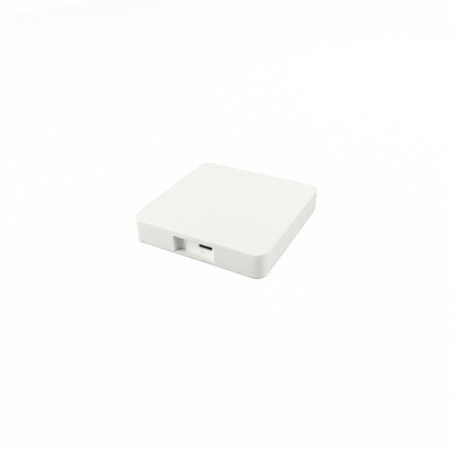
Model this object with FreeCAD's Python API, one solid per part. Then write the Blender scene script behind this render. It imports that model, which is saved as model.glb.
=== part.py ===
"""A small square smart hub: a moulded cover and tray around a circuit board with a USB-C socket.

Sizes are in millimetres. The origin is the centre of the footprint, on the surface that the feet
stand on. +Z is up, +Y is away from the port face, and +X is to the right of someone facing the port.
Each sub-part is one function that returns its solid, or a group of separate solids that are alike.
"""
import FreeCAD, Part
import math
import os
from FreeCAD import Vector

# Housing
WIDTH = 90.0
DEPTH = 90.0
BODY_HEIGHT = 17.4
CORNER_RADIUS = 6.9
TOP_EDGE_RADIUS = 1.0
BOTTOM_EDGE_RADIUS = 2.4
SEAM_RISE = 2.7
SEAM_GAP = 0.05
WALL = 1.8
TOP_THICKNESS = 1.8
FLOOR_THICKNESS = 1.8

# Tongue of the tray inside the rebate of the cover
COVER_LIP = 0.8
TONGUE_HEIGHT = 1.6
TONGUE_CLEARANCE = 0.1
TONGUE_END_GAP = 0.3

# Recess in the port face
RECESS_WIDTH = 26.9
RECESS_OFFSET = 0.4
RECESS_HEIGHT = 11.0
RECESS_DEPTH = 4.2
RECESS_WALL = 1.4
RECESS_CORNER = 0.6
RECESS_EDGE_RADIUS = 0.3

# USB-C socket
PORT_OFFSET = 6.3
PORT_RISE = 9.2
PORT_SHELL_WIDTH = 8.94
PORT_SHELL_HEIGHT = 3.16
PORT_SHELL_LENGTH = 7.35
PORT_SHEET = 0.3
PORT_CLEARANCE = 0.2
PORT_SET_BACK = 0.5
PORT_CORNER = 1.3
PORT_BASE_LENGTH = 2.2
PORT_TONGUE_WIDTH = 6.69
PORT_TONGUE_HEIGHT = 0.7
PORT_TONGUE_SET_BACK = 0.8
PORT_CONTACT_COUNT = 12
PORT_CONTACT_PITCH = 0.5
PORT_CONTACT_WIDTH = 0.24
PORT_CONTACT_THICKNESS = 0.08
PORT_CONTACT_LENGTH = 3.4
PORT_TAIL_LENGTH = 0.9
PORT_LEG_WIDTH = 1.1
PORT_LEG_BELOW_BOARD = 0.5
PORT_LEG_INSET = 1.4
PORT_LEG_SPAN = 4.2

# Circuit board
BOARD_THICKNESS = 1.6
BOARD_SIDE_GAP = 2.2
BOARD_CORNER = 2.0
HOLE_CLEARANCE = 0.2

# Snap hooks of the tray, two on each side
HOOK_SPACING = 50.0
HOOK_WIDTH = 6.0
HOOK_THICKNESS = 1.0
HOOK_WALL_GAP = 0.15
HOOK_RISE = 4.6
HOOK_NOSE = 0.55
HOOK_LAND = 0.4
HOOK_HEAD = 1.8
HOOK_CLEARANCE = 0.1

# Screws that hold the board beside the socket
BOARD_SCREW_DIAMETER = 1.9
BOARD_SCREW_LENGTH = 4.4
BOARD_SCREW_HEAD_DIAMETER = 3.8
BOARD_SCREW_HEAD_HEIGHT = 1.3
BOARD_SCREW_EDGE = 4.0
BOARD_SCREW_FROM_FRONT = 18.9
THREAD_CLEARANCE = 0.05
BOSS_WALL = 1.7
SHANK_SIDES = 8

# Tabs of the tray that locate the far edge of the board, and posts of the cover that hold it down
TAB_SPACING = 32.0
TAB_WIDTH = 2.0
TAB_DEPTH = 1.0
TAB_RISE = 0.5
REST_WIDTH = 4.4
REST_DEPTH = 2.6
HOLD_DOWN_SIDE = 3.0
HOLD_DOWN_OVERLAP = 1.1

# Ribs
RIB = 0.9
TOP_RIB_HEIGHT = 0.8
TOP_RIB_PITCH = 24.0

# Feet
FOOT_INSET = 10.0
FOOT_DIAMETER = 10.0
FOOT_THICKNESS = 1.6
FOOT_SEAT_DEPTH = 0.8
FOOT_CLEARANCE = 0.15

# Vent slots in the underside
VENT_COUNT = 9
VENT_PITCH = 3.6
VENT_WIDTH = 1.4
VENT_LENGTH = 20.0

# Reset button and its switch
RESET_X = -22.0
RESET_Y = -20.0
RESET_TRAVEL = 0.25
BUTTON_DIAMETER = 5.6
BUTTON_CLEARANCE = 0.2
BUTTON_RECESS = 0.3
BUTTON_FLANGE = 0.9
BUTTON_FLANGE_THICKNESS = 0.6
BUTTON_REST_GAP = 0.05
BUTTON_STEM_DIAMETER = 3.0
COLLAR_WALL = 1.0
COLLAR_HEIGHT = 1.5
SWITCH_SIDE = 5.2
SWITCH_HEIGHT = 1.5
SWITCH_BASE = 0.3
SWITCH_PLATE_THICKNESS = 0.2
SWITCH_CAVITY_DIAMETER = 3.8
DOME_DIAMETER = 3.4
DOME_SIDES = 8
DOME_CROWN = 1.2
DOME_PRESSED_HEIGHT = 0.2
DOME_THICKNESS = 0.1
PLUNGER_DIAMETER = 2.0
PLUNGER_HEAD_DIAMETER = 3.2
PLUNGER_REACH = 0.7
PLUNGER_CLEARANCE = 0.15
PLUNGER_REST_GAP = 0.02

# Status lamp and its light guide
LAMP_RISE = 10.4
LAMP_FROM_BACK = 6.5
LAMP_SIZE = (3.2, 2.0, 0.8)
GUIDE_DIAMETER = 2.4
GUIDE_CLEARANCE = 0.1
GUIDE_FLANGE = 0.9
GUIDE_FLANGE_THICKNESS = 0.8
GUIDE_LAMP_GAP = 0.3

# Radio modules and aerial
WIFI_BOARD_SIZE = (25.5, 18.0, 0.8)
WIFI_CENTRE_Y = 12.0
WIFI_AERIAL_LENGTH = 6.3
WIFI_CAN_MARGIN = 0.9
WIFI_CAN_HEIGHT = 2.2
WIFI_PAD_COUNT = 11
WIFI_PAD_PITCH = 1.5
WIFI_PAD_WIDTH = 0.7
WIFI_PAD_DEPTH = 0.4
CAN_SHEET = 0.2
CAN_CORNER = 0.8
MESH_CHIP_SIZE = (7.0, 7.0, 0.85)
MESH_FROM_SIDE = 16.0
MESH_CENTRE_Y = 8.0
MESH_CAN_SIZE = (14.0, 14.0, 2.0)
AERIAL_SHEET = 0.3
AERIAL_LENGTH = 25.0
AERIAL_HEIGHT = 6.0
AERIAL_ARM = 1.8
AERIAL_FOLD = 3.2
AERIAL_LEG_WIDTH = 1.2
AERIAL_FEED_OFFSET = 5.0
AERIAL_START_Y = -2.0
AERIAL_EDGE_INSET = 1.2

# Other parts on the board: size along X, Y and Z, and centre
PROCESSOR_SIZE = (12.0, 12.0, 1.1)
PROCESSOR_CENTRE = (-2.0, -6.0)
MEMORY_SIZE = (8.0, 12.5, 1.0)
MEMORY_CENTRE = (11.0, -6.0)
FLASH_SIZE = (5.3, 5.2, 1.6)
FLASH_CENTRE = (-2.0, 9.0)
FLASH_LEG_COUNT = 4
FLASH_LEG_PITCH = 1.27
FLASH_LEG_WIDTH = 0.42
FLASH_LEG_REACH = 1.3
FLASH_LEG_THICKNESS = 0.2
CHIP_BEVEL = 0.15
REGULATOR_SIZE = (3.0, 3.0, 0.9)
REGULATOR_X = -9.0
REGULATOR_FROM_FRONT = 9.9
INDUCTOR_SIZE = (6.0, 6.0, 3.0)
INDUCTOR_X = -16.5
INDUCTOR_FROM_FRONT = 9.4
INDUCTOR_BEVEL = 1.1
CRYSTAL_SIZE = (3.2, 2.5, 0.7)
CRYSTAL_CENTRE = (-12.5, -8.0)
CRYSTAL_BESIDE_MESH = 11.0
CAPACITOR_DIAMETER = 5.0
CAPACITOR_HEIGHT = 4.6
CAPACITOR_BASE = 5.3
CAPACITOR_BASE_HEIGHT = 0.9
CAPACITOR_BASE_BEVEL = 1.0
CAPACITOR_X = (18.5, 25.5)
CAPACITOR_FROM_FRONT = 7.9
PASSIVE_CAPACITOR_SIZE = (1.6, 0.8, 0.8)
PASSIVE_RESISTOR_SIZE = (1.6, 0.8, 0.45)
PASSIVE_PITCH = 1.9

# Levels, worked out from the sizes above
BODY_BOTTOM = FOOT_THICKNESS - FOOT_SEAT_DEPTH
SEAM = BODY_BOTTOM + SEAM_RISE
COVER_BOTTOM = SEAM + SEAM_GAP
TOP = BODY_BOTTOM + BODY_HEIGHT
CEILING = TOP - TOP_THICKNESS
FLOOR = BODY_BOTTOM + FLOOR_THICKNESS
TONGUE_TOP = SEAM + TONGUE_HEIGHT
RECESS_TOP = SEAM + RECESS_HEIGHT
PORT_Z = BODY_BOTTOM + PORT_RISE
BOARD_TOP = PORT_Z - PORT_SHELL_HEIGHT / 2
BOARD_BOTTOM = BOARD_TOP - BOARD_THICKNESS
LAMP_Z = BODY_BOTTOM + LAMP_RISE
HOOK_BEARING = SEAM + HOOK_RISE
DOME_HEIGHT = DOME_PRESSED_HEIGHT + RESET_TRAVEL

# Places across the housing
FRONT = -DEPTH / 2
BACK = DEPTH / 2
RECESS_LEFT = RECESS_OFFSET - RECESS_WIDTH / 2
RECESS_RIGHT = RECESS_OFFSET + RECESS_WIDTH / 2
RECESS_BACK = FRONT + RECESS_DEPTH
RECESS_INNER = RECESS_BACK + RECESS_WALL
PORT_FRONT = RECESS_BACK + PORT_SET_BACK
PORT_BACK = PORT_FRONT + PORT_SHELL_LENGTH
BOARD_FRONT = RECESS_INNER + PORT_SET_BACK
BOARD_BACK = BACK - WALL - BOARD_SIDE_GAP
BOARD_SIDE = WIDTH / 2 - WALL - BOARD_SIDE_GAP
STANDOFF_RADIUS = BOARD_SCREW_DIAMETER / 2 + BOSS_WALL
BUTTON_RADIUS = BUTTON_DIAMETER / 2
COLLAR_RADIUS = BUTTON_RADIUS + BUTTON_FLANGE + BUTTON_CLEARANCE
SWITCH_BOTTOM = BOARD_BOTTOM - SWITCH_HEIGHT
PLUNGER_TIP = SWITCH_BOTTOM - SWITCH_PLATE_THICKNESS - PLUNGER_REACH
LAMP_Y = BACK - LAMP_FROM_BACK
WIFI_CENTRE_X = -BOARD_SIDE + WIFI_BOARD_SIZE[0] / 2
AERIAL_X = BOARD_SIDE - AERIAL_EDGE_INSET
MESH_CENTRE = (BOARD_SIDE - MESH_FROM_SIDE, MESH_CENTRE_Y)
CRYSTAL_CENTRES = (CRYSTAL_CENTRE, (MESH_CENTRE[0] - CRYSTAL_BESIDE_MESH, MESH_CENTRE_Y))

FEET = [
    (side_x * (WIDTH / 2 - FOOT_INSET), side_y * (DEPTH / 2 - FOOT_INSET))
    for side_x in (-1, 1)
    for side_y in (-1, 1)
]
BOARD_SCREWS = [
    (side * (BOARD_SIDE - BOARD_SCREW_EDGE), BOARD_FRONT + BOARD_SCREW_FROM_FRONT)
    for side in (-1, 1)
]
BOARD_TABS = [-TAB_SPACING / 2, TAB_SPACING / 2]
REGULATOR_CENTRE = (REGULATOR_X, BOARD_FRONT + REGULATOR_FROM_FRONT)
INDUCTOR_CENTRE = (INDUCTOR_X, BOARD_FRONT + INDUCTOR_FROM_FRONT)
CAPACITOR_CENTRES = [(x, BOARD_FRONT + CAPACITOR_FROM_FRONT) for x in CAPACITOR_X]
PORT_LEGS = [
    (PORT_OFFSET + side * (PORT_SHELL_WIDTH - PORT_SHEET) / 2, y)
    for side in (-1, 1)
    for y in (BOARD_FRONT + PORT_LEG_INSET, BOARD_FRONT + PORT_LEG_INSET + PORT_LEG_SPAN)
]


def box(x_low, x_high, y_low, y_high, z_low, z_high):
    """A block between its two corners."""
    corner = Vector(x_low, y_low, z_low)
    return Part.makeBox(x_high - x_low, y_high - y_low, z_high - z_low, corner)


def block(size, centre, z_low):
    """A block of a given size that stands on a level, centred on a point."""
    x, y = centre
    return box(x - size[0] / 2, x + size[0] / 2, y - size[1] / 2, y + size[1] / 2, z_low, z_low + size[2])


def post(x, y, radius, z_low, z_high):
    """An upright cylinder."""
    return Part.makeCylinder(radius, z_high - z_low, Vector(x, y, z_low))


def rounded_face(width, height, radius):
    """A rectangle with round corners, centred on the origin of the XY plane."""
    x = width / 2 - radius
    y = height / 2 - radius
    corners = [(x, y, 0), (-x, y, 90), (-x, -y, 180), (x, -y, 270)]
    arcs = [
        Part.makeCircle(radius, Vector(cx, cy, 0), Vector(0, 0, 1), start, start + 90)
        for cx, cy, start in corners
    ]
    edges = []
    for arc, following in zip(arcs, arcs[1:] + arcs[:1]):
        edges.append(arc)
        begin = arc.valueAt(arc.LastParameter)
        end = following.valueAt(following.FirstParameter)
        if begin.distanceToPoint(end) > 1e-6:
            edges.append(Part.makeLine(begin, end))
    return Part.Face(Part.Wire(edges))


def rounded_prism(width, depth, radius, z_low, z_high, centre=(0.0, 0.0)):
    """An upright prism on a rectangle with round corners."""
    face = rounded_face(width, depth, radius)
    face.translate(Vector(centre[0], centre[1], z_low))
    return face.extrude(Vector(0, 0, z_high - z_low))


def port_prism(width, height, radius, y_low, y_high):
    """A prism along Y on a rectangle with round corners, centred on the socket's axis."""
    face = rounded_face(width, height, radius)
    face.rotate(Vector(0, 0, 0), Vector(1, 0, 0), 90)
    face.translate(Vector(PORT_OFFSET, y_low, PORT_Z))
    return face.extrude(Vector(0, y_high - y_low, 0))


def side_prism(points, x_low, x_high):
    """A prism along X on a polygon of points (y, z)."""
    corners = [Vector(x_low, y, z) for y, z in points]
    face = Part.Face(Part.makePolygon(corners + corners[:1]))
    return face.extrude(Vector(x_high - x_low, 0, 0))


def turned(points, x, y):
    """A solid turned about an upright axis at (x, y), from a profile of points (radius, z)."""
    corners = [Vector(radius, 0, z) for radius, z in points]
    face = Part.Face(Part.makePolygon(corners + corners[:1]))
    solid = face.revolve(Vector(0, 0, 0), Vector(0, 0, 1), 360)
    solid.translate(Vector(x, y, 0))
    return solid


def edges_at_level(solid, level):
    """The edges of a solid that lie flat at one level."""
    return [
        edge for edge in solid.Edges
        if abs(edge.BoundBox.ZMin - level) < 1e-4 and abs(edge.BoundBox.ZMax - level) < 1e-4
    ]


def upright_edges(solid):
    """The straight upright edges of a solid."""
    return [
        edge for edge in solid.Edges
        if edge.BoundBox.XLength < 1e-4 and edge.BoundBox.YLength < 1e-4
    ]


def rounded_at(solid, radius, level):
    """A solid with the edges at one level rounded."""
    return solid.makeFillet(radius, edges_at_level(solid, level))


def polygon_ring(x, y, radius, sides, level):
    """The corners of a level regular polygon about an upright axis at (x, y)."""
    turns = [2 * math.pi * index / sides for index in range(sides)]
    return [Vector(x + radius * math.cos(turn), y + radius * math.sin(turn), level) for turn in turns]


def fused(solids):
    """One solid from several that touch or overlap."""
    first, *others = solids
    return first.fuse(others).removeSplitter()


def group(solids):
    """Separate solids that share a node."""
    return Part.makeCompound(solids)


def on_each_side(profile, width):
    """Copies of a prism on a profile of points (outwards from the wall's inner face, z), two on each side."""
    copies = []
    for turn in range(4):
        reach = (WIDTH if turn % 2 == 0 else DEPTH) / 2 - WALL
        for offset in (-HOOK_SPACING / 2, HOOK_SPACING / 2):
            corners = [Vector(reach + out, offset - width / 2, z) for out, z in profile]
            face = Part.Face(Part.makePolygon(corners + corners[:1]))
            prism = face.extrude(Vector(0, width, 0))
            prism.rotate(Vector(0, 0, 0), Vector(0, 0, 1), 90 * turn)
            copies.append(prism)
    return copies


def snap_hooks():
    """The hooks: upright arms with a nose that bears on the cover and a ramp that leads it in."""
    near = -HOOK_WALL_GAP
    far = near - HOOK_THICKNESS
    top = HOOK_BEARING + HOOK_HEAD
    profile = [
        (far, FLOOR), (0, FLOOR), (0, TONGUE_TOP), (near, TONGUE_TOP), (near, HOOK_BEARING),
        (HOOK_NOSE, HOOK_BEARING), (HOOK_NOSE, HOOK_BEARING + HOOK_LAND), (near, top), (far, top),
    ]
    return on_each_side(profile, HOOK_WIDTH)


def hook_pockets():
    """The spaces in the cover's wall that take the noses of the hooks."""
    depth = HOOK_NOSE + HOOK_CLEARANCE
    low = HOOK_BEARING - HOOK_CLEARANCE
    high = HOOK_BEARING + HOOK_HEAD
    profile = [(-WALL, low), (depth, low), (depth, high), (-WALL, high)]
    return on_each_side(profile, HOOK_WIDTH + 4 * HOOK_CLEARANCE)


def cover_ribs():
    """The grid of low ribs under the top of the cover."""
    half_x = WIDTH / 2 - WALL
    half_y = DEPTH / 2 - WALL
    low = CEILING - TOP_RIB_HEIGHT
    ribs = []
    for step in range(-int(half_x // TOP_RIB_PITCH), int(half_x // TOP_RIB_PITCH) + 1):
        x = step * TOP_RIB_PITCH
        ribs.append(box(x - RIB / 2, x + RIB / 2, -half_y, half_y, low, CEILING))
    for step in range(-int(half_y // TOP_RIB_PITCH), int(half_y // TOP_RIB_PITCH) + 1):
        y = step * TOP_RIB_PITCH
        ribs.append(box(-half_x, half_x, y - RIB / 2, y + RIB / 2, low, CEILING))
    return ribs


def recess_void():
    """The space of the recess: open to the front and downwards, with round upper corners."""
    void = box(RECESS_LEFT, RECESS_RIGHT, FRONT - WALL, RECESS_BACK, BODY_BOTTOM, RECESS_TOP)
    top_corners = [
        edge for edge in void.Edges
        if edge.BoundBox.YLength > RECESS_DEPTH / 2 and abs(edge.BoundBox.ZMin - RECESS_TOP) < 1e-4
    ]
    return void.makeFillet(RECESS_CORNER, top_corners)


def mouth_edges(solid):
    """The edges round the mouth of the recess, in the plane of the port face."""
    return [
        edge for edge in solid.Edges
        if abs(edge.BoundBox.YMin - FRONT) < 1e-4 and edge.BoundBox.YLength < 1e-4
        and edge.BoundBox.XMin > RECESS_LEFT - RECESS_CORNER / 2
        and edge.BoundBox.XMax < RECESS_RIGHT + RECESS_CORNER / 2
        and edge.BoundBox.ZMax < RECESS_TOP + RECESS_CORNER / 2
    ]


def top_cover():
    """The moulded tub: top and side walls, with the port recess, ribs and pockets for the hooks."""
    tub = rounded_prism(WIDTH, DEPTH, CORNER_RADIUS, COVER_BOTTOM, TOP)
    tub = rounded_at(tub, TOP_EDGE_RADIUS, TOP)
    hollow = rounded_prism(
        WIDTH - 2 * WALL, DEPTH - 2 * WALL, CORNER_RADIUS - WALL, BODY_BOTTOM, CEILING)
    rebate = rounded_prism(
        WIDTH - 2 * COVER_LIP, DEPTH - 2 * COVER_LIP, CORNER_RADIUS - COVER_LIP,
        BODY_BOTTOM, TONGUE_TOP + TONGUE_CLEARANCE)
    tub = tub.cut([hollow, rebate])

    additions = cover_ribs()
    additions.append(box(
        RECESS_LEFT - RECESS_WALL, RECESS_RIGHT + RECESS_WALL,
        FRONT + COVER_LIP / 2, RECESS_INNER, COVER_BOTTOM, RECESS_TOP + RECESS_WALL))
    size = (HOLD_DOWN_SIDE, HOLD_DOWN_SIDE, CEILING - BOARD_TOP - HOLE_CLEARANCE)
    y = BOARD_BACK - TAB_DEPTH - REST_DEPTH + HOLD_DOWN_OVERLAP - HOLD_DOWN_SIDE / 2
    additions.extend(block(size, (x, y), BOARD_TOP + HOLE_CLEARANCE) for x in BOARD_TABS)
    tub = fused([tub] + additions)

    window = Part.makeCylinder(
        GUIDE_DIAMETER / 2 + GUIDE_CLEARANCE, WALL * 2, Vector(0, BACK - WALL * 1.5, LAMP_Z), Vector(0, 1, 0))
    port_hole = port_prism(
        PORT_SHELL_WIDTH + 2 * PORT_CLEARANCE, PORT_SHELL_HEIGHT + 2 * PORT_CLEARANCE,
        PORT_CORNER + PORT_CLEARANCE, RECESS_BACK - RECESS_WALL / 2, RECESS_INNER + RECESS_WALL / 2)
    tub = tub.cut(hook_pockets() + [window, port_hole, recess_void()])
    return tub.makeFillet(RECESS_EDGE_RADIUS, mouth_edges(tub))


def tray_tongue():
    """The tongue that stands up from the tray inside the cover, left out behind the recess."""
    outset = COVER_LIP + TONGUE_CLEARANCE
    outer = rounded_prism(
        WIDTH - 2 * outset, DEPTH - 2 * outset, CORNER_RADIUS - outset, FLOOR, TONGUE_TOP)
    inner = rounded_prism(
        WIDTH - 2 * WALL, DEPTH - 2 * WALL, CORNER_RADIUS - WALL, BODY_BOTTOM, TONGUE_TOP + WALL)
    gap = box(
        RECESS_LEFT - RECESS_WALL - TONGUE_END_GAP, RECESS_RIGHT + RECESS_WALL + TONGUE_END_GAP,
        FRONT, FRONT + 2 * WALL, SEAM, TONGUE_TOP + WALL)
    return outer.cut([inner, gap])


def board_seats():
    """What carries the board on the tray: square bosses for its screws, rests and locating tabs."""
    height = BOARD_BOTTOM - FLOOR
    boss = (2 * STANDOFF_RADIUS, 2 * STANDOFF_RADIUS, height)
    seats = [block(boss, centre, FLOOR) for centre in BOARD_SCREWS]
    for side in (-1, 1):
        x = PORT_OFFSET + side * (PORT_SHELL_WIDTH / 2 + 2 * RIB)
        seats.append(block((2 * RIB, 2 * PORT_LEG_SPAN, height), (x, BOARD_FRONT + PORT_LEG_SPAN), FLOOR))
    for x in BOARD_TABS:
        depth = REST_DEPTH + 2 * TAB_DEPTH
        seats.append(block((REST_WIDTH, depth, height), (x, BOARD_BACK + TAB_DEPTH - depth / 2), FLOOR))
        tab = (TAB_WIDTH, 2 * TAB_DEPTH, BOARD_THICKNESS + TAB_RISE)
        seats.append(block(tab, (x, BOARD_BACK), BOARD_BOTTOM))
    return seats


def base_tray():
    """The moulded lower shell, with the sill of the recess, hooks, board seats and seats for the feet."""
    pan = rounded_prism(WIDTH, DEPTH, CORNER_RADIUS, BODY_BOTTOM, SEAM)
    pan = rounded_at(pan, BOTTOM_EDGE_RADIUS, BODY_BOTTOM)
    pan = pan.cut(rounded_prism(
        WIDTH - 2 * WALL, DEPTH - 2 * WALL, CORNER_RADIUS - WALL, FLOOR, SEAM + WALL))

    additions = [tray_tongue()] + snap_hooks() + board_seats()
    additions.append(box(
        RECESS_LEFT - RECESS_WALL, RECESS_RIGHT + RECESS_WALL, FRONT + WALL / 2, RECESS_INNER, FLOOR, SEAM))
    additions.append(post(RESET_X, RESET_Y, COLLAR_RADIUS + COLLAR_WALL, FLOOR, FLOOR + COLLAR_HEIGHT))
    pan = fused([pan] + additions)

    cuts = [post(RESET_X, RESET_Y, BUTTON_RADIUS + BUTTON_CLEARANCE, 0, FLOOR + COLLAR_HEIGHT)]
    cuts.append(post(RESET_X, RESET_Y, COLLAR_RADIUS, FLOOR, FLOOR + 2 * COLLAR_HEIGHT))
    cuts.extend(
        post(x, y, FOOT_DIAMETER / 2 + FOOT_CLEARANCE, 0, BODY_BOTTOM + FOOT_SEAT_DEPTH) for x, y in FEET)
    thread_bottom = BOARD_TOP - BOARD_SCREW_LENGTH - HOLE_CLEARANCE
    for x, y in BOARD_SCREWS:
        cuts.append(post(x, y, BOARD_SCREW_DIAMETER / 2 + THREAD_CLEARANCE, thread_bottom, BOARD_TOP))
    for index in range(VENT_COUNT):
        x = (index - (VENT_COUNT - 1) / 2) * VENT_PITCH
        slot = box(x - VENT_WIDTH / 2, x + VENT_WIDTH / 2, -VENT_LENGTH / 2, VENT_LENGTH / 2, 0, SEAM)
        cuts.append(slot.makeChamfer(VENT_WIDTH / 3, upright_edges(slot)))
    return pan.cut(cuts)


def main_board():
    """The circuit board, with its screw holes, notches for the tabs and slots for the socket's legs."""
    slot = PORT_SHEET + 2 * HOLE_CLEARANCE
    length = PORT_LEG_WIDTH + 2 * HOLE_CLEARANCE
    cuts = [
        post(x, y, BOARD_SCREW_DIAMETER / 2 + HOLE_CLEARANCE, BODY_BOTTOM, TOP)
        for x, y in BOARD_SCREWS
    ]
    cuts.extend(
        box(x - slot / 2, x + slot / 2, y - length / 2, y + length / 2, BODY_BOTTOM, TOP)
        for x, y in PORT_LEGS)
    notch = (TAB_WIDTH + 2 * HOLE_CLEARANCE, 2 * (TAB_DEPTH + HOLE_CLEARANCE), TOP)
    cuts.extend(block(notch, (x, BOARD_BACK), 0) for x in BOARD_TABS)
    plate = box(-BOARD_SIDE, BOARD_SIDE, BOARD_FRONT, BOARD_BACK, BOARD_BOTTOM, BOARD_TOP)
    return plate.makeChamfer(BOARD_CORNER, upright_edges(plate)).cut(cuts)


def usb_c_shell():
    """The steel shell of the socket: an open tube with four legs through the board."""
    bore = (PORT_SHELL_WIDTH - 2 * PORT_SHEET, PORT_SHELL_HEIGHT - 2 * PORT_SHEET)
    tube = port_prism(PORT_SHELL_WIDTH, PORT_SHELL_HEIGHT, PORT_CORNER, PORT_FRONT, PORT_BACK)
    hollow = port_prism(
        bore[0], bore[1], PORT_CORNER - PORT_SHEET, PORT_FRONT - PORT_SHEET, PORT_BACK + PORT_SHEET)
    legs = [
        box(x - PORT_SHEET / 2, x + PORT_SHEET / 2, y - PORT_LEG_WIDTH / 2, y + PORT_LEG_WIDTH / 2,
            BOARD_BOTTOM - PORT_LEG_BELOW_BOARD, PORT_Z)
        for x, y in PORT_LEGS
    ]
    return fused([tube] + legs).cut(hollow)


def usb_c_tongue():
    """The moulded insulator: a base that closes the back of the shell, and the tongue in its middle."""
    base = port_prism(
        PORT_SHELL_WIDTH - 2 * PORT_SHEET, PORT_SHELL_HEIGHT - 2 * PORT_SHEET, PORT_CORNER - PORT_SHEET,
        PORT_BACK - PORT_BASE_LENGTH, PORT_BACK)
    tongue = box(
        PORT_OFFSET - PORT_TONGUE_WIDTH / 2, PORT_OFFSET + PORT_TONGUE_WIDTH / 2,
        PORT_FRONT + PORT_TONGUE_SET_BACK, PORT_BACK - PORT_BASE_LENGTH / 2,
        PORT_Z - PORT_TONGUE_HEIGHT / 2, PORT_Z + PORT_TONGUE_HEIGHT / 2)
    return fused([base, tongue])


def usb_c_contacts():
    """The contact strips above and below the tongue, and the tails soldered behind the shell."""
    root = PORT_BACK - PORT_BASE_LENGTH
    half = PORT_CONTACT_WIDTH / 2
    strips = []
    for index in range(PORT_CONTACT_COUNT):
        x = PORT_OFFSET + (index - (PORT_CONTACT_COUNT - 1) / 2) * PORT_CONTACT_PITCH
        upper = PORT_Z + PORT_TONGUE_HEIGHT / 2
        lower = PORT_Z - PORT_TONGUE_HEIGHT / 2 - PORT_CONTACT_THICKNESS
        for level in (upper, lower):
            strips.append(box(
                x - half, x + half, root - PORT_CONTACT_LENGTH, root, level, level + PORT_CONTACT_THICKNESS))
        strips.append(box(
            x - half, x + half, PORT_BACK, PORT_BACK + PORT_TAIL_LENGTH,
            BOARD_TOP, BOARD_TOP + PORT_SHEET))
    return group(strips)


def shield_can(size, centre, z_low):
    """A drawn metal can, open below."""
    outer = block(size, centre, z_low)
    outer = outer.makeChamfer(CAN_CORNER, upright_edges(outer))
    outer = outer.makeChamfer(CAN_SHEET, edges_at_level(outer, z_low + size[2]))
    inner = block((size[0] - 2 * CAN_SHEET, size[1] - 2 * CAN_SHEET, size[2]), centre, z_low - CAN_SHEET)
    return outer.cut(inner.makeChamfer(CAN_CORNER - CAN_SHEET, upright_edges(inner)))


def chip(size, centre):
    """A moulded chip body with a narrow bevel round its top."""
    body = block(size, centre, BOARD_TOP)
    return body.makeChamfer(CHIP_BEVEL, edges_at_level(body, BOARD_TOP + size[2]))


def wifi_module_board():
    """The radio module's own board, with notched solder pads along its sides."""
    centre = (WIFI_CENTRE_X, WIFI_CENTRE_Y)
    plate = block(WIFI_BOARD_SIZE, centre, BOARD_TOP)
    pads = []
    for index in range(WIFI_PAD_COUNT):
        x = WIFI_CENTRE_X + WIFI_BOARD_SIZE[0] / 2 - (index + 1) * WIFI_PAD_PITCH
        for side in (-1, 1):
            y = WIFI_CENTRE_Y + side * WIFI_BOARD_SIZE[1] / 2
            pads.append(block((WIFI_PAD_WIDTH, 2 * WIFI_PAD_DEPTH, TOP), (x, y), 0))
    return plate.cut(pads)


def wifi_module_can():
    """The can over the radio module, clear of the printed aerial at the end of its board."""
    width = WIFI_BOARD_SIZE[0] - WIFI_AERIAL_LENGTH - 2 * WIFI_CAN_MARGIN
    depth = WIFI_BOARD_SIZE[1] - 2 * WIFI_CAN_MARGIN
    x = WIFI_CENTRE_X + WIFI_BOARD_SIZE[0] / 2 - WIFI_CAN_MARGIN - width / 2
    return shield_can(
        (width, depth, WIFI_CAN_HEIGHT), (x, WIFI_CENTRE_Y), BOARD_TOP + WIFI_BOARD_SIZE[2])


def mesh_antenna():
    """The stamped aerial: an inverted F that stands on the board, with its arm folded over."""
    arm_low = BOARD_TOP + AERIAL_HEIGHT - AERIAL_ARM
    arm_top = BOARD_TOP + AERIAL_HEIGHT
    y0 = AERIAL_START_Y
    feed = y0 + AERIAL_FEED_OFFSET
    outline = [
        (y0, BOARD_TOP), (y0 + AERIAL_LEG_WIDTH, BOARD_TOP), (y0 + AERIAL_LEG_WIDTH, arm_low),
        (feed, arm_low), (feed, BOARD_TOP), (feed + AERIAL_LEG_WIDTH, BOARD_TOP),
        (feed + AERIAL_LEG_WIDTH, arm_low), (y0 + AERIAL_LENGTH, arm_low),
        (y0 + AERIAL_LENGTH, arm_top), (y0, arm_top),
    ]
    upright = side_prism(outline, AERIAL_X, AERIAL_X + AERIAL_SHEET)
    fold = box(
        AERIAL_X - AERIAL_FOLD, AERIAL_X + AERIAL_SHEET, y0, y0 + AERIAL_LENGTH,
        arm_top - AERIAL_SHEET, arm_top)
    return fused([upright, fold])


def flash_chip():
    """The serial flash: a moulded body with bent legs on two sides."""
    body = chip(FLASH_SIZE, FLASH_CENTRE)
    x, y = FLASH_CENTRE
    half = FLASH_SIZE[0] / 2
    knee = BOARD_TOP + FLASH_SIZE[2] / 2
    step = FLASH_LEG_REACH / 2
    leg = FLASH_LEG_THICKNESS
    profile = [
        (half - step, knee), (half + step, knee), (half + step, BOARD_TOP + leg),
        (half + FLASH_LEG_REACH, BOARD_TOP + leg), (half + FLASH_LEG_REACH, BOARD_TOP),
        (half + step - leg, BOARD_TOP), (half + step - leg, knee - leg), (half - step, knee - leg),
    ]
    legs = []
    for side in (-1, 1):
        for index in range(FLASH_LEG_COUNT):
            leg_y = y + (index - (FLASH_LEG_COUNT - 1) / 2) * FLASH_LEG_PITCH - FLASH_LEG_WIDTH / 2
            corners = [Vector(x + side * reach, leg_y, z) for reach, z in profile]
            face = Part.Face(Part.makePolygon(corners + corners[:1]))
            legs.append(face.extrude(Vector(0, FLASH_LEG_WIDTH, 0)))
    return fused([body] + legs)


def power_inductor():
    """The moulded power coil, with its corners cut."""
    body = block(INDUCTOR_SIZE, INDUCTOR_CENTRE, BOARD_TOP)
    body = body.makeChamfer(INDUCTOR_BEVEL, upright_edges(body))
    return body.makeChamfer(CHIP_BEVEL, edges_at_level(body, BOARD_TOP + INDUCTOR_SIZE[2]))


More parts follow.
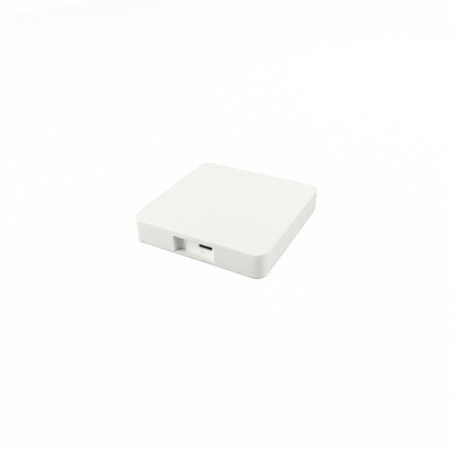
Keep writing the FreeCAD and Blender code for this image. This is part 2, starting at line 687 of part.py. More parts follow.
def crystals():
    """The two metal crystal cans."""
    return group([chip(CRYSTAL_SIZE, centre) for centre in CRYSTAL_CENTRES])


def bulk_capacitors():
    """The two aluminium cans."""
    radius = CAPACITOR_DIAMETER / 2
    low = BOARD_TOP + CAPACITOR_BASE_HEIGHT
    return group([post(x, y, radius, low, low + CAPACITOR_HEIGHT) for x, y in CAPACITOR_CENTRES])


def bulk_capacitor_bases():
    """The moulded bases of the two cans, square with two cut corners."""
    bases = []
    for centre in CAPACITOR_CENTRES:
        base = block((CAPACITOR_BASE, CAPACITOR_BASE, CAPACITOR_BASE_HEIGHT), centre, BOARD_TOP)
        cut = [edge for edge in upright_edges(base) if edge.BoundBox.YMin > centre[1]]
        bases.append(base.makeChamfer(CAPACITOR_BASE_BEVEL, cut))
    return group(bases)


def passive_row(size, count, start, along_x):
    """A row of small two-ended parts, side by side on the board."""
    x, y = start
    lay = size if not along_x else (size[1], size[0], size[2])
    step = (PASSIVE_PITCH, 0.0) if along_x else (0.0, PASSIVE_PITCH)
    return [block(lay, (x + index * step[0], y + index * step[1]), BOARD_TOP) for index in range(count)]


def chip_capacitors():
    """The small decoupling capacitors, in rows beside the chips that they serve."""
    processor_x, processor_y = PROCESSOR_CENTRE
    beside = PROCESSOR_SIZE[1] / 2 + 2 * PASSIVE_CAPACITOR_SIZE[0]
    rows = passive_row(PASSIVE_CAPACITOR_SIZE, 6, (processor_x - 5.0, processor_y - beside), True)
    rows += passive_row(PASSIVE_CAPACITOR_SIZE, 3, (MEMORY_CENTRE[0] - 2.0, processor_y - beside), True)
    rows += passive_row(PASSIVE_CAPACITOR_SIZE, 3, (REGULATOR_X + 3.4, REGULATOR_CENTRE[1] - 1.9), False)
    rows += passive_row(PASSIVE_CAPACITOR_SIZE, 4, (MESH_CENTRE[0] - 3.0, MESH_CENTRE[1] + 10.0), True)
    return group(rows)


def chip_resistors():
    """The small resistors, in rows."""
    processor_x, processor_y = PROCESSOR_CENTRE
    beside = PROCESSOR_SIZE[1] / 2 + 2 * PASSIVE_RESISTOR_SIZE[0]
    rows = passive_row(PASSIVE_RESISTOR_SIZE, 4, (processor_x + 3.0, processor_y + beside), True)
    rows += passive_row(PASSIVE_RESISTOR_SIZE, 5, (MESH_CENTRE[0] - 4.0, MESH_CENTRE[1] - 10.5), True)
    rows += passive_row(PASSIVE_RESISTOR_SIZE, 3, (-5.0, LAMP_Y - 1.9), False)
    return group(rows)


def board_screw(x, y):
    """A screw whose round head bears on the board, with a plain shank for its thread."""
    head = post(x, y, BOARD_SCREW_HEAD_DIAMETER / 2, BOARD_TOP, BOARD_TOP + BOARD_SCREW_HEAD_HEIGHT)
    ring = polygon_ring(x, y, BOARD_SCREW_DIAMETER / 2, SHANK_SIDES, BOARD_TOP - BOARD_SCREW_LENGTH)
    shank = Part.Face(Part.makePolygon(ring + ring[:1]))
    return fused([head, shank.extrude(Vector(0, 0, BOARD_SCREW_LENGTH))])


def board_screws():
    """The two screws that hold the board on the tray's bosses."""
    return group([board_screw(x, y) for x, y in BOARD_SCREWS])


def rubber_foot(x, y):
    """One round foot, die cut from sheet and bonded in its seat in the tray."""
    return post(x, y, FOOT_DIAMETER / 2, 0, FOOT_THICKNESS)


def reset_button():
    """The cap in the underside: a round head, a flange that retains it and a stem to the switch."""
    low = BODY_BOTTOM + BUTTON_RECESS
    flange_low = FLOOR + BUTTON_REST_GAP
    flange_high = flange_low + BUTTON_FLANGE_THICKNESS
    flange_radius = BUTTON_RADIUS + BUTTON_FLANGE
    stem_radius = BUTTON_STEM_DIAMETER / 2
    profile = [
        (0, low), (BUTTON_RADIUS, low), (BUTTON_RADIUS, flange_low),
        (flange_radius, flange_low), (flange_radius, flange_high),
        (stem_radius, flange_high), (stem_radius, PLUNGER_TIP), (0, PLUNGER_TIP),
    ]
    return turned(profile, RESET_X, RESET_Y)


def switch_housing():
    """The switch's moulded body under the board, open below for the dome and the plunger."""
    body = block((SWITCH_SIDE, SWITCH_SIDE, SWITCH_HEIGHT), (RESET_X, RESET_Y), SWITCH_BOTTOM)
    cavity = post(
        RESET_X, RESET_Y, SWITCH_CAVITY_DIAMETER / 2, BODY_BOTTOM, BOARD_BOTTOM - SWITCH_BASE)
    return body.cut(cavity)


def switch_plate():
    """The metal plate that keeps the plunger in the switch."""
    size = (SWITCH_SIDE, SWITCH_SIDE, SWITCH_PLATE_THICKNESS)
    plate = block(size, (RESET_X, RESET_Y), SWITCH_BOTTOM - SWITCH_PLATE_THICKNESS)
    return plate.cut(post(RESET_X, RESET_Y, PLUNGER_DIAMETER / 2 + PLUNGER_CLEARANCE, BODY_BOTTOM, TOP))


def dome_layer(rim_radius, crown_radius, rim, crown):
    """A many-sided solid between the dome's rim and its smaller crown below."""
    upper = polygon_ring(RESET_X, RESET_Y, rim_radius, DOME_SIDES, rim)
    lower = polygon_ring(RESET_X, RESET_Y, crown_radius, DOME_SIDES, crown)
    outlines = [upper, lower]
    for index in range(DOME_SIDES):
        following = (index + 1) % DOME_SIDES
        outlines.append([upper[index], upper[following], lower[following], lower[index]])
    faces = [Part.Face(Part.makePolygon(outline + outline[:1])) for outline in outlines]
    return Part.Solid(Part.makeShell(faces))


def switch_dome():
    """The thin snap dome: its rim bears on the switch's base and its crown on the plunger."""
    rim = BOARD_BOTTOM - SWITCH_BASE
    outer = dome_layer(DOME_DIAMETER / 2, DOME_CROWN / 2, rim, rim - DOME_HEIGHT)
    inner = dome_layer(
        DOME_DIAMETER / 2 - DOME_THICKNESS, DOME_CROWN / 2 - DOME_THICKNESS / 2,
        rim, rim - DOME_HEIGHT + DOME_THICKNESS)
    return outer.cut(inner)


def switch_plunger():
    """The plunger: a head that the plate retains, which bears on the dome, and a stem that is pressed."""
    head_low = SWITCH_BOTTOM + PLUNGER_REST_GAP
    crown = BOARD_BOTTOM - SWITCH_BASE - DOME_HEIGHT - PLUNGER_REST_GAP
    stem_radius = PLUNGER_DIAMETER / 2
    head_radius = PLUNGER_HEAD_DIAMETER / 2
    profile = [
        (0, PLUNGER_TIP), (stem_radius, PLUNGER_TIP), (stem_radius, head_low),
        (head_radius, head_low), (head_radius, crown), (0, crown),
    ]
    return turned(profile, RESET_X, RESET_Y)


def status_led():
    """The lamp on the board, under the light guide."""
    body = block(LAMP_SIZE, (0.0, LAMP_Y), BOARD_TOP)
    return body.makeChamfer(CHIP_BEVEL, edges_at_level(body, BOARD_TOP + LAMP_SIZE[2]))


def light_guide():
    """The clear guide: a leg over the lamp, a slanted face that turns the light and a round lens."""
    half = GUIDE_DIAMETER / 2
    inside = BACK - WALL
    foot = BOARD_TOP + LAMP_SIZE[2] + GUIDE_LAMP_GAP
    outline = [
        (LAMP_Y - half, foot), (LAMP_Y + half, foot), (LAMP_Y + half, LAMP_Z - half),
        (inside - GUIDE_FLANGE_THICKNESS, LAMP_Z - half), (inside - GUIDE_FLANGE_THICKNESS, LAMP_Z + half),
        (LAMP_Y + half, LAMP_Z + half), (LAMP_Y - half, LAMP_Z - half),
    ]
    bar = side_prism(outline, -half, half)
    reach = half + GUIDE_FLANGE
    flange = box(-reach, reach, inside - GUIDE_FLANGE_THICKNESS, inside, LAMP_Z - reach, LAMP_Z + reach)
    lens = Part.makeCylinder(half, WALL, Vector(0, inside, LAMP_Z), Vector(0, 1, 0))
    return fused([bar, flange, lens])


SUB_PARTS = {
    "top_cover": top_cover,
    "base_tray": base_tray,
    "main_board": main_board,
    "usb_c_shell": usb_c_shell,
    "usb_c_tongue": usb_c_tongue,
    "usb_c_contacts": usb_c_contacts,
    "wifi_module_board": wifi_module_board,
    "wifi_module_can": wifi_module_can,
    "mesh_radio_chip": lambda: chip(MESH_CHIP_SIZE, MESH_CENTRE),
    "mesh_radio_can": lambda: shield_can(MESH_CAN_SIZE, MESH_CENTRE, BOARD_TOP),
    "mesh_antenna": mesh_antenna,
    "processor_chip": lambda: chip(PROCESSOR_SIZE, PROCESSOR_CENTRE),
    "memory_chip": lambda: chip(MEMORY_SIZE, MEMORY_CENTRE),
    "flash_chip": flash_chip,
    "crystals": crystals,
    "regulator_chip": lambda: chip(REGULATOR_SIZE, REGULATOR_CENTRE),
    "power_inductor": power_inductor,
    "bulk_capacitors": bulk_capacitors,
    "bulk_capacitor_bases": bulk_capacitor_bases,
    "chip_capacitors": chip_capacitors,
    "chip_resistors": chip_resistors,
    "status_led": status_led,
    "light_guide": light_guide,
    "board_screws": board_screws,
    "reset_button": reset_button,
    "switch_housing": switch_housing,
    "switch_plate": switch_plate,
    "switch_dome": switch_dome,
    "switch_plunger": switch_plunger,
}
for number, (foot_x, foot_y) in enumerate(FEET, start=1):
    SUB_PARTS[f"rubber_foot_{number}"] = lambda x=foot_x, y=foot_y: rubber_foot(x, y)


def write_parts():
    """Write every sub-part to its own file."""
    os.makedirs("parts", exist_ok=True)
    for name, make in SUB_PARTS.items():
        shape = make()
        shape.exportStep(f"parts/{name}.step")
        print(name, len(shape.Solids), "solids", round(shape.Volume, 2), "mm3", shape.isValid())


write_parts()
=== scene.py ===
import logging
import math
from abc import ABC, abstractmethod
from collections.abc import Callable, Iterable, Sequence
from dataclasses import dataclass
from enum import Enum, IntEnum
from typing import NamedTuple, Self

import bmesh
import bpy
from bmesh.types import BMEdge, BMesh, BMVert
from bpy.types import Material, Node, NodeSocket, NodeTree, Object
from mathutils import Matrix, Vector


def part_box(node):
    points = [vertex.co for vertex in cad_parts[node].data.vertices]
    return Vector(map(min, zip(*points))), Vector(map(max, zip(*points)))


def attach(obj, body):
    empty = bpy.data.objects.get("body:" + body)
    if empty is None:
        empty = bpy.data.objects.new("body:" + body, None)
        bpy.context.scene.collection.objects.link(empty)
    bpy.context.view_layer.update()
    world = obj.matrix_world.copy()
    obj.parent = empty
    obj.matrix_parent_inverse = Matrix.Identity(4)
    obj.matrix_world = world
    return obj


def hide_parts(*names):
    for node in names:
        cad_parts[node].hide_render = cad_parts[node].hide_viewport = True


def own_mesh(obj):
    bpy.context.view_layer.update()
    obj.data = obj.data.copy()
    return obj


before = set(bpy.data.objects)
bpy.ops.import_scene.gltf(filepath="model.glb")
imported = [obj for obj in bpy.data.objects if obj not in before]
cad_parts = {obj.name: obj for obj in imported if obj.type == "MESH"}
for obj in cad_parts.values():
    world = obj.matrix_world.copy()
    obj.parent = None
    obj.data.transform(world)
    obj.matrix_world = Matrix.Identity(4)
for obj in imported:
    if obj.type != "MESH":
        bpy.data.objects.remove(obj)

log = logging.getLogger("smart_hub")

MM = 0.001
EMBED = 0.3 * MM  # how far shapes reach into each other before they are joined or cut
TOUCH = 0.001 * MM  # the distance at which two places count as one
DIGITS = 6  # how finely places are compared when solids are put in order
PARALLEL = 0.9999  # the cosine from which an edge counts as parallel to an axis
SHARP_ANGLE = math.radians(32)
LEG_BEND = 0.35  # the radius of a leg's bends, in thicknesses of its sheet
FACE_WEIGHT = 90  # how much more a large face counts than a small one in the shading
NODE_STEP = 220  # the room for each shader node
WHITE = (1.0, 1.0, 1.0, 1.0)
QUARTER_STEPS = 6
QUARTER = [index * math.pi / 2 / QUARTER_STEPS for index in range(QUARTER_STEPS + 1)]
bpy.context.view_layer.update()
FEET = tuple(f"rubber_foot_{number}" for number in range(1, 5))

Point = Sequence[float]
Profile = list[tuple[float, float]]


class Body(Enum):
    """The bodies that pieces ride on."""

    HOUSING = "housing"
    BUTTON = "button"


class Operation(Enum):
    """How a tool shape acts on a solid."""

    CUT = "DIFFERENCE"
    JOIN = "UNION"


class Axis(Enum):
    """The axes, by their place in a vector."""

    X = 0
    Y = 1
    Z = 2


class Flats(IntEnum):
    """How many flats a rounding has."""

    CUT = 1
    HAIR = 2
    FINE = 3
    RIM = 4
    CORNER = 5
    BEND = 6
    WIDE = 8
    ROUND = 10
    SMOOTH = 12


class Sides(IntEnum):
    """How many sides a round shape has."""

    PIN = 20
    DIMPLE = 24
    PILOT = 32
    HOLE = 48
    DISC = 64
    COLLAR = 72
    LARGE = 96


class Space(NamedTuple):
    """The lowest and highest corners of a node, or of one of its solids."""

    low: Vector
    high: Vector

    @property
    def middle(self) -> Vector:
        """The centre."""
        return (self.low + self.high) / 2

    @property
    def radius(self) -> float:
        """Half the width."""
        return (self.high.x - self.low.x) / 2


def space(node: str) -> Space:
    """The space that a node takes up at rest."""
    return Space(*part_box(node))


def solids(node: str) -> list[Space]:
    """The spaces of the separate solids of a node, read from a merged copy of its mesh.

    Args:
        node: The node's name.

    Returns:
        One space for each solid, in order of their places.
    """
    shape = bmesh.new()
    shape.from_mesh(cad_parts[node].data)
    bmesh.ops.remove_doubles(shape, verts=shape.verts[:], dist=TOUCH / 10)
    left, spaces = set(shape.verts), []
    while left:
        waiting, island = [left.pop()], []
        while waiting:
            vert = waiting.pop()
            island.append(vert.co)
            near = {edge.other_vert(vert) for edge in vert.link_edges} & left
            left -= near
            waiting.extend(near)
        corners = (Vector(end(point[axis] for point in island) for axis in range(3)) for end in (min, max))
        spaces.append(Space(*corners))
    shape.free()
    return sorted(spaces, key=lambda each: [round(value, DIGITS) for value in each.low])


def around(centre: Point, half: tuple[float, float], low: float, high: float) -> Space:
    """The space that reaches equally far to both sides of a point, between two levels."""
    x, y = centre[0], centre[1]
    return Space(Vector((x - half[0], y - half[1], low)), Vector((x + half[0], y + half[1], high)))


def pair(spacing: float, middle: float = 0.0) -> tuple[float, float]:
    """Two places the same distance to both sides of a middle."""
    return middle - spacing / 2, middle + spacing / 2


def block(shape: BMesh, low: Point, high: Point) -> list[BMEdge]:
    """Add a block between two corners to a shape.

    Args:
        shape: The mesh that the block is added to.
        low: The lowest corner, in metres.
        high: The highest corner, in metres.

    Returns:
        The block's twelve edges.
    """
    low, high = Vector(low), Vector(high)
    scale = Matrix.Diagonal((*(high - low), 1.0))
    made = bmesh.ops.create_cube(shape, size=1.0, matrix=Matrix.Translation((low + high) / 2) @ scale)
    shape.edges.index_update()
    return sorted({edge for vert in made["verts"] for edge in vert.link_edges}, key=lambda edge: edge.index)


def runs_along(edge: BMEdge, axis: Axis) -> bool:
    """Whether an edge is parallel to an axis."""
    step = (edge.verts[0].co - edge.verts[1].co).normalized()
    return abs(step[axis.value]) > PARALLEL


def lies_at(edge: BMEdge, axis: Axis, level: float) -> bool:
    """Whether both ends of an edge lie at one level of an axis."""
    return all(abs(vert.co[axis.value] - level) < TOUCH for vert in edge.verts)


def lies_within(edge: BMEdge, low: Point, high: Point) -> bool:
    """Whether both ends of an edge lie in a space, or on its surface."""
    return all(
        low[axis] - TOUCH < vert.co[axis] < high[axis] + TOUCH for vert in edge.verts for axis in range(3))


def picked(edges: Iterable[BMEdge], along: Axis | None = None, **levels: float) -> list[BMEdge]:
    """Pick out edges by their direction and their place.

    Args:
        edges: The edges to choose from.
        along: The axis that they are parallel to, if it matters.
        levels: The levels of x, y or z at which both their ends lie.

    Returns:
        The edges that fit, in the order in which they were given.
    """
    return [
        edge for edge in edges if (along is None or runs_along(edge, along))
        and all(lies_at(edge, Axis[name.upper()], level) for name, level in levels.items())]


def round_edges(shape: BMesh, edges: Iterable[BMEdge], radius: float, steps: int) -> None:
    """Round some edges of a shape, or cut them off.

    Args:
        shape: The mesh to change.
        edges: The edges to round.
        radius: The radius, in metres.
        steps: How many flats the rounding has; one cuts the edge off.
    """
    bmesh.ops.bevel(
        shape, geom=list(edges), offset=radius, offset_type="OFFSET", segments=steps, profile=0.5,
        affect="EDGES", clamp_overlap=True, material=-1)


def prism(low: Point, high: Point, axis: Axis, corner: float, steps: int, shape: BMesh | None = None) -> BMesh:
    """Make a block whose four edges along one axis are rounded.

    Args:
        low: The lowest corner, in metres.
        high: The highest corner, in metres.
        axis: The direction of the rounded edges.
        corner: Their radius, in metres.
        steps: How many flats each rounding has.
        shape: The mesh that it is added to, if not a new one.

    Returns:
        The mesh that holds it.
    """
    shape = bmesh.new() if shape is None else shape
    round_edges(shape, picked(block(shape, low, high), axis), corner, steps)
    return shape


def cushion(
    low: Point, high: Point, rounding: float, steps: int = Flats.FINE, corner: float = 0.0,
    corner_steps: int = Flats.CORNER, shape: BMesh | None = None
) -> BMesh:
    """Make a block whose top edges are rounded, and its upright edges too if they have a radius.

    Args:
        low: The lowest corner, in metres.
        high: The highest corner, in metres.
        rounding: The radius along the top, in metres.
        steps: How many flats that rounding has.
        corner: The radius of the upright edges.
        corner_steps: How many flats each of them has.
        shape: The mesh that it is added to, if not a new one.

    Returns:
        The mesh that holds it.
    """
    shape = bmesh.new() if shape is None else shape
    if corner:
        prism(low, high, Axis.Z, corner, corner_steps, shape)
    else:
        block(shape, low, high)
    top = [
        edge for edge in shape.edges
        if lies_within(edge, (low[0], low[1], high[2]), high) and edge.calc_face_angle(0) > SHARP_ANGLE]
    round_edges(shape, top, rounding, steps)
    return shape


def drum(
    centre: Point, radius: float, low: float, high: float, sides: int, axis: Axis = Axis.Z, shape: BMesh | None = None
) -> BMesh:
    """Make a closed cylinder.

    Args:
        centre: A point on its axis; its place along the axis isn't used.
        radius: Its radius, in metres.
        low: Where it starts along the axis.
        high: Where it ends along the axis.
        sides: How many sides it has.
        axis: The direction that it lies along.
        shape: The mesh that it is added to, if not a new one.

    Returns:
        The mesh that holds it.
    """
    shape = bmesh.new() if shape is None else shape
    turns = {Axis.X: Matrix.Rotation(math.pi / 2, 4, "Y"), Axis.Y: Matrix.Rotation(-math.pi / 2, 4, "X")}
    middle = Vector(centre)
    middle[axis.value] = (low + high) / 2
    place = Matrix.Translation(middle) @ turns.get(axis, Matrix.Identity(4))
    bmesh.ops.create_cone(
        shape, cap_ends=True, segments=sides, radius1=radius, radius2=radius, depth=high - low, matrix=place)
    return shape


def turned(profile: Profile, centre: Point, sides: int, shape: BMesh | None = None) -> BMesh:
    """Make a solid turned about an upright axis.

    Args:
        profile: Its outline as (radius, height) points, from the axis and back to it.
        centre: A point on the axis.
        sides: How many sides it has.
        shape: The mesh that it is added to, if not a new one.

    Returns:
        The mesh that holds it.
    """
    shape = bmesh.new() if shape is None else shape
    points = [shape.verts.new((centre[0] + radius, centre[1], height)) for radius, height in profile]
    edges = [shape.edges.new(ends) for ends in zip(points, points[1:])]
    bmesh.ops.spin(
        shape, geom=points + edges, cent=Vector((centre[0], centre[1], 0)), axis=(0, 0, 1), angle=2 * math.pi,
        steps=sides, use_merge=True)
    bmesh.ops.remove_doubles(shape, verts=shape.verts[:], dist=TOUCH)
    bmesh.ops.recalc_face_normals(shape, faces=shape.faces[:])
    return shape


def lower_rim(radius: float, edge: float, level: float) -> Profile:
    """The outline of a rounded lower rim, outwards from its flat."""
    return [(radius - edge + edge * math.sin(turn), level + edge - edge * math.cos(turn)) for turn in QUARTER]


def upper_rim(radius: float, edge: float, level: float) -> Profile:
    """The outline of a rounded upper rim, inwards from its side."""
    return [(radius - edge + edge * math.cos(turn), level - edge + edge * math.sin(turn)) for turn in QUARTER]


def extruded(shape: BMesh, outline: Sequence[Vector], step: Point) -> list[BMVert]:
    """Add a solid swept from a flat outline.

    Args:
        shape: The mesh that the solid is added to.
        outline: The corners of the outline, in order.
        step: How far and in which direction it is swept.

    Returns:
        The solid's vertices.
    """
    points = [shape.verts.new(corner) for corner in outline]
    swept = bmesh.ops.extrude_face_region(shape, geom=[shape.faces.new(points)])
    moved = [item for item in swept["geom"] if isinstance(item, BMVert)]
    bmesh.ops.translate(shape, verts=moved, vec=step)
    shape.faces.index_update()
    faces = sorted({face for vert in points + moved for face in vert.link_faces}, key=lambda face: face.index)
    bmesh.ops.recalc_face_normals(shape, faces=faces)
    return points + moved


def bent_leg(shape: BMesh, start: Point, reach: float, foot: float, sheet: float, width: float) -> None:
    """Add a leg of sheet metal that leaves a body along X, bends, and ends flat on a solder pad.

    Args:
        shape: The mesh that the leg is added to.
        start: The middle of the leg's outer face, where it leaves the body.
        reach: How far it goes along X; the sign gives the direction.
        foot: The level of the pad.
        sheet: The metal's thickness.
        width: The leg's width.
    """
    x, y, knee = start
    inwards, over = math.copysign(sheet, reach), math.copysign(sheet, knee - foot)
    root, step = -math.copysign(EMBED, reach), reach / 2
    profile = [
        (root, knee), (step, knee), (step, foot + over), (reach, foot + over), (reach, foot),
        (step - inwards, foot), (step - inwards, knee - over), (root, knee - over)]
    made = extruded(shape, [Vector((x + out, y - width / 2, level)) for out, level in profile], (0, width, 0))
    shape.edges.index_update()
    bends = {
        edge for vert in made for edge in vert.link_edges
        if runs_along(edge, Axis.Y) and edge.calc_face_angle(0) > SHARP_ANGLE}
    round_edges(shape, sorted(bends, key=lambda edge: edge.index), sheet * LEG_BEND, Flats.HAIR)


class Solid:
    """A piece in the making: an object at the origin that tool shapes cut and join until it is dressed."""

    def __init__(self, shape: BMesh, name: str) -> None:
        """Make the object.

        Args:
            shape: Its mesh, which is used up.
            name: The piece's name.
        """
        mesh = bpy.data.meshes.new(name)
        shape.to_mesh(mesh)
        shape.free()
        self.piece = bpy.data.objects.new(name, mesh)
        bpy.context.scene.collection.objects.link(self.piece)

    def remove(self) -> None:
        """Take the object and its mesh away."""
        mesh = self.piece.data
        bpy.data.objects.remove(self.piece)
        bpy.data.meshes.remove(mesh)

    def as_shape(self) -> BMesh:
        """The solid as a tool shape, with its object used up.

        Returns:
            The mesh.
        """
        shape = bmesh.new()
        shape.from_mesh(self.piece.data)
        self.remove()
        return shape

    def combine(self, tool: BMesh, operation: Operation, overlapping: bool) -> Self:
        """Cut a tool shape out, or join it on.

        Args:
            tool: The tool's mesh, which is used up.
            operation: Whether the tool cuts or joins.
            overlapping: Whether pieces of the tool pass through each other.

        Returns:
            The same solid.
        """
        cutter = Solid(tool, "tool")
        modifier = self.piece.modifiers.new("shape", "BOOLEAN")
        modifier.operation = operation.value
        modifier.solver = "EXACT"
        modifier.use_self = overlapping
        modifier.object = cutter.piece
        graph = bpy.context.evaluated_depsgraph_get()
        result = bpy.data.meshes.new_from_object(self.piece.evaluated_get(graph), depsgraph=graph)
        self.piece.modifiers.remove(modifier)
        former, self.piece.data = self.piece.data, result
        result.name = self.piece.name
        bpy.data.meshes.remove(former)
        cutter.remove()
        return self

    def cut(self, tool: BMesh, overlapping: bool = False) -> Self:
        """Cut a tool shape out."""
        return self.combine(tool, Operation.CUT, overlapping)

    def join(self, tool: BMesh, overlapping: bool = False) -> Self:
        """Join a tool shape on."""
        return self.combine(tool, Operation.JOIN, overlapping)

    def soften(self, radius: float, steps: int, chosen: Callable[[BMEdge], bool]) -> Self:
        """Round the sharp edges that pass a test.

        Args:
            radius: The radius, in metres.
            steps: How many flats the rounding has.
            chosen: The test on an edge.

        Returns:
            The same solid.
        """
        shape = bmesh.new()
        shape.from_mesh(self.piece.data)
        bmesh.ops.dissolve_degenerate(shape, edges=shape.edges[:], dist=TOUCH)
        edges = [
            edge for edge in shape.edges
            if len(edge.link_faces) == 2 and edge.calc_face_angle() > SHARP_ANGLE and chosen(edge)]
        round_edges(shape, edges, radius, steps)
        shape.to_mesh(self.piece.data)
        shape.free()
        return self

    def dress(self, slot: str, *nodes: str, body: Body = Body.HOUSING) -> Object:
        """Finish the piece: smooth between its sharp edges, with its material, its body and its nodes.

        Args:
            slot: The material slot that it takes its finish from.
            nodes: The nodes that it replaces.
            body: The body that it rides on.

        Returns:
            The finished piece.
        """
        piece, mesh = self.piece, self.piece.data
        mesh.shade_smooth()
        mesh.set_sharp_from_angle(angle=SHARP_ANGLE)
        even = piece.modifiers.new("even shading", "WEIGHTED_NORMAL")
        even.keep_sharp = True
        even.weight = FACE_WEIGHT
        mesh.materials.clear()
        mesh.materials.append(FINISHES[slot].material())
        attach(piece, body.value)
        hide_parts(*nodes)
        log.info("%s: %d faces, %s", piece.name, len(mesh.polygons), slot)
        return piece


class Graph:
    """A node tree that is filled in one node at a time."""

    def __init__(self, tree: NodeTree) -> None:
        """Start with an empty tree."""
        self.tree = tree
        tree.nodes.clear()

    def add(self, kind: str, settings: dict | None = None, **sockets: object) -> Node:
        """Add a node.

        Args:
            kind: The node's type.
            settings: Values of the node's own properties.
            sockets: Values or links of its inputs, by their names with underscores for spaces.

        Returns:
            The node.
        """
        node = self.tree.nodes.new(kind)
        node.location = (NODE_STEP * len(self.tree.nodes), 0)
        for name, value in (settings or {}).items():
            setattr(node, name, value)
        for name, value in sockets.items():
            wanted = name.replace("_", " ")
            self.put(next(socket for socket in node.inputs if socket.name == wanted and socket.enabled), value)
        return node

    def put(self, socket: NodeSocket, value: object) -> None:
        """Link another socket to an input, or set the input's own value.

        Args:
            socket: The input.
            value: The other socket, or the value.
        """
        if isinstance(value, NodeSocket):
            self.tree.links.new(value, socket)
        else:
            socket.default_value = value

    def blend(self, amount: NodeSocket, first: NodeSocket | Point, second: Point) -> NodeSocket:
        """Mix two colours.

        Args:
            amount: How much of the second colour shows, from 0 to 1.
            first: The first colour.
            second: The second colour.

        Returns:
            The mixed colour.
        """
        node = self.add("ShaderNodeMix", {"data_type": "RGBA"})
        colours = [socket for socket in node.inputs if socket.type == "RGBA"]
        self.put(node.inputs[0], amount)
        self.put(colours[0], first if isinstance(first, NodeSocket) else (*first, 1.0))
        self.put(colours[1], (*second, 1.0))
        return next(socket for socket in node.outputs if socket.type == "RGBA")

    def between(self, amount: NodeSocket, low: float, high: float) -> NodeSocket:
        """Map an amount from 0 to 1 onto a range."""
        return self.add("ShaderNodeMapRange", Value=amount, To_Min=low, To_Max=high).outputs[0]

    def maths(self, kind: str, first: object, second: object) -> NodeSocket:
        """Work out one step of arithmetic.

        Args:
            kind: The operation.
            first: Its first socket or number.
            second: Its second one.

        Returns:
            The result.
        """
        node = self.add("ShaderNodeMath", {"operation": kind})
        self.put(node.inputs[0], first)
        self.put(node.inputs[1], second)
        return node.outputs[0]


def new_group(name: str, rate: str) -> tuple[Graph, Node, Node]:
    """Start a shared effect, which puts out a height, a tone and a gloss.

    Args:
        name: The group's name.
        rate: The name of its one number; a Position vector comes before it.

    Returns:
        The group's graph and its input and output nodes.
    """
    tree = bpy.data.node_groups.new(name, "ShaderNodeTree")
    tree.interface.new_socket("Position", in_out="INPUT", socket_type="NodeSocketVector")
    tree.interface.new_socket(rate, in_out="INPUT", socket_type="NodeSocketFloat")
    for label in ("Height", "Tone", "Gloss"):
        tree.interface.new_socket(label, in_out="OUTPUT", socket_type="NodeSocketFloat")
    graph = Graph(tree)
    return graph, graph.add("NodeGroupInput"), graph.add("NodeGroupOutput")


def mould_grain(drift: float = 24.0, mottle: float = 160.0, pit_share: float = 0.6) -> NodeTree:
    """The fine eroded grain of a mould, with slow drifts of tone and of gloss.

    Args:
        drift: How many drifts of tone there are per metre.
        mottle: How many drifts of gloss there are per metre.
        pit_share: How deep the pits are against the fine grain.

    Returns:
        The effect's node group.
    """
    rate_name = "Grains per metre"
    graph, given, result = new_group("mould grain", rate_name)
    place, rate = given.outputs["Position"], given.outputs[rate_name]
    fine = graph.add("ShaderNodeTexNoise", Vector=place, Scale=rate, Detail=3.0, Roughness=0.6)
    pits = graph.add("ShaderNodeTexVoronoi", {"feature": "SMOOTH_F1"}, Vector=place, Scale=rate, Smoothness=0.8)
    tone = graph.add("ShaderNodeTexNoise", Vector=place, Scale=drift, Detail=2.0)
    gloss = graph.add("ShaderNodeTexNoise", Vector=place, Scale=mottle, Detail=4.0)
    height = graph.maths("ADD", graph.maths("MULTIPLY", pits.outputs["Distance"], pit_share), fine.outputs["Fac"])
    for label, value in (("Height", height), ("Tone", tone.outputs["Fac"]), ("Gloss", gloss.outputs["Fac"])):
        graph.put(result.inputs[label], value)
    return graph.tree


def rolled_grain(blotch: float = 400.0, stretch: float = 0.04, gloss_share: float = 0.4) -> NodeTree:
    """The drawn streaks and faint blotches of sheet metal, with the streaks along X.

    Args:
        blotch: How many blotches of tone there are per metre.
        stretch: How narrow a streak is against its length.
        gloss_share: How many streaks of gloss there are for each streak of relief.

    Returns:
        The effect's node group.
    """
    rate_name = "Streaks per metre"
    graph, given, result = new_group("rolled grain", rate_name)
    place, rate = given.outputs["Position"], given.outputs[rate_name]
    along = graph.add("ShaderNodeMapping", Vector=place, Scale=(stretch, 1.0, 1.0)).outputs[0]
    streaks = graph.add("ShaderNodeTexNoise", Vector=along, Scale=rate, Detail=4.0)
    tone = graph.add("ShaderNodeTexNoise", Vector=place, Scale=blotch, Detail=3.0)
    gloss = graph.add("ShaderNodeTexNoise", Vector=along, Scale=graph.maths("MULTIPLY", rate, gloss_share))
    for label, source in (("Height", streaks), ("Tone", tone), ("Gloss", gloss)):
        graph.put(result.inputs[label], source.outputs["Fac"])
    return graph.tree


class Effect(Enum):
    """The shared effects, each built once."""

    MOULD = "mould grain"
    ROLLED = "rolled grain"

    def tree(self) -> NodeTree:
        """The effect's node group."""
        makers = {Effect.MOULD: mould_grain, Effect.ROLLED: rolled_grain}
        return bpy.data.node_groups.get(self.value) or makers[self]()


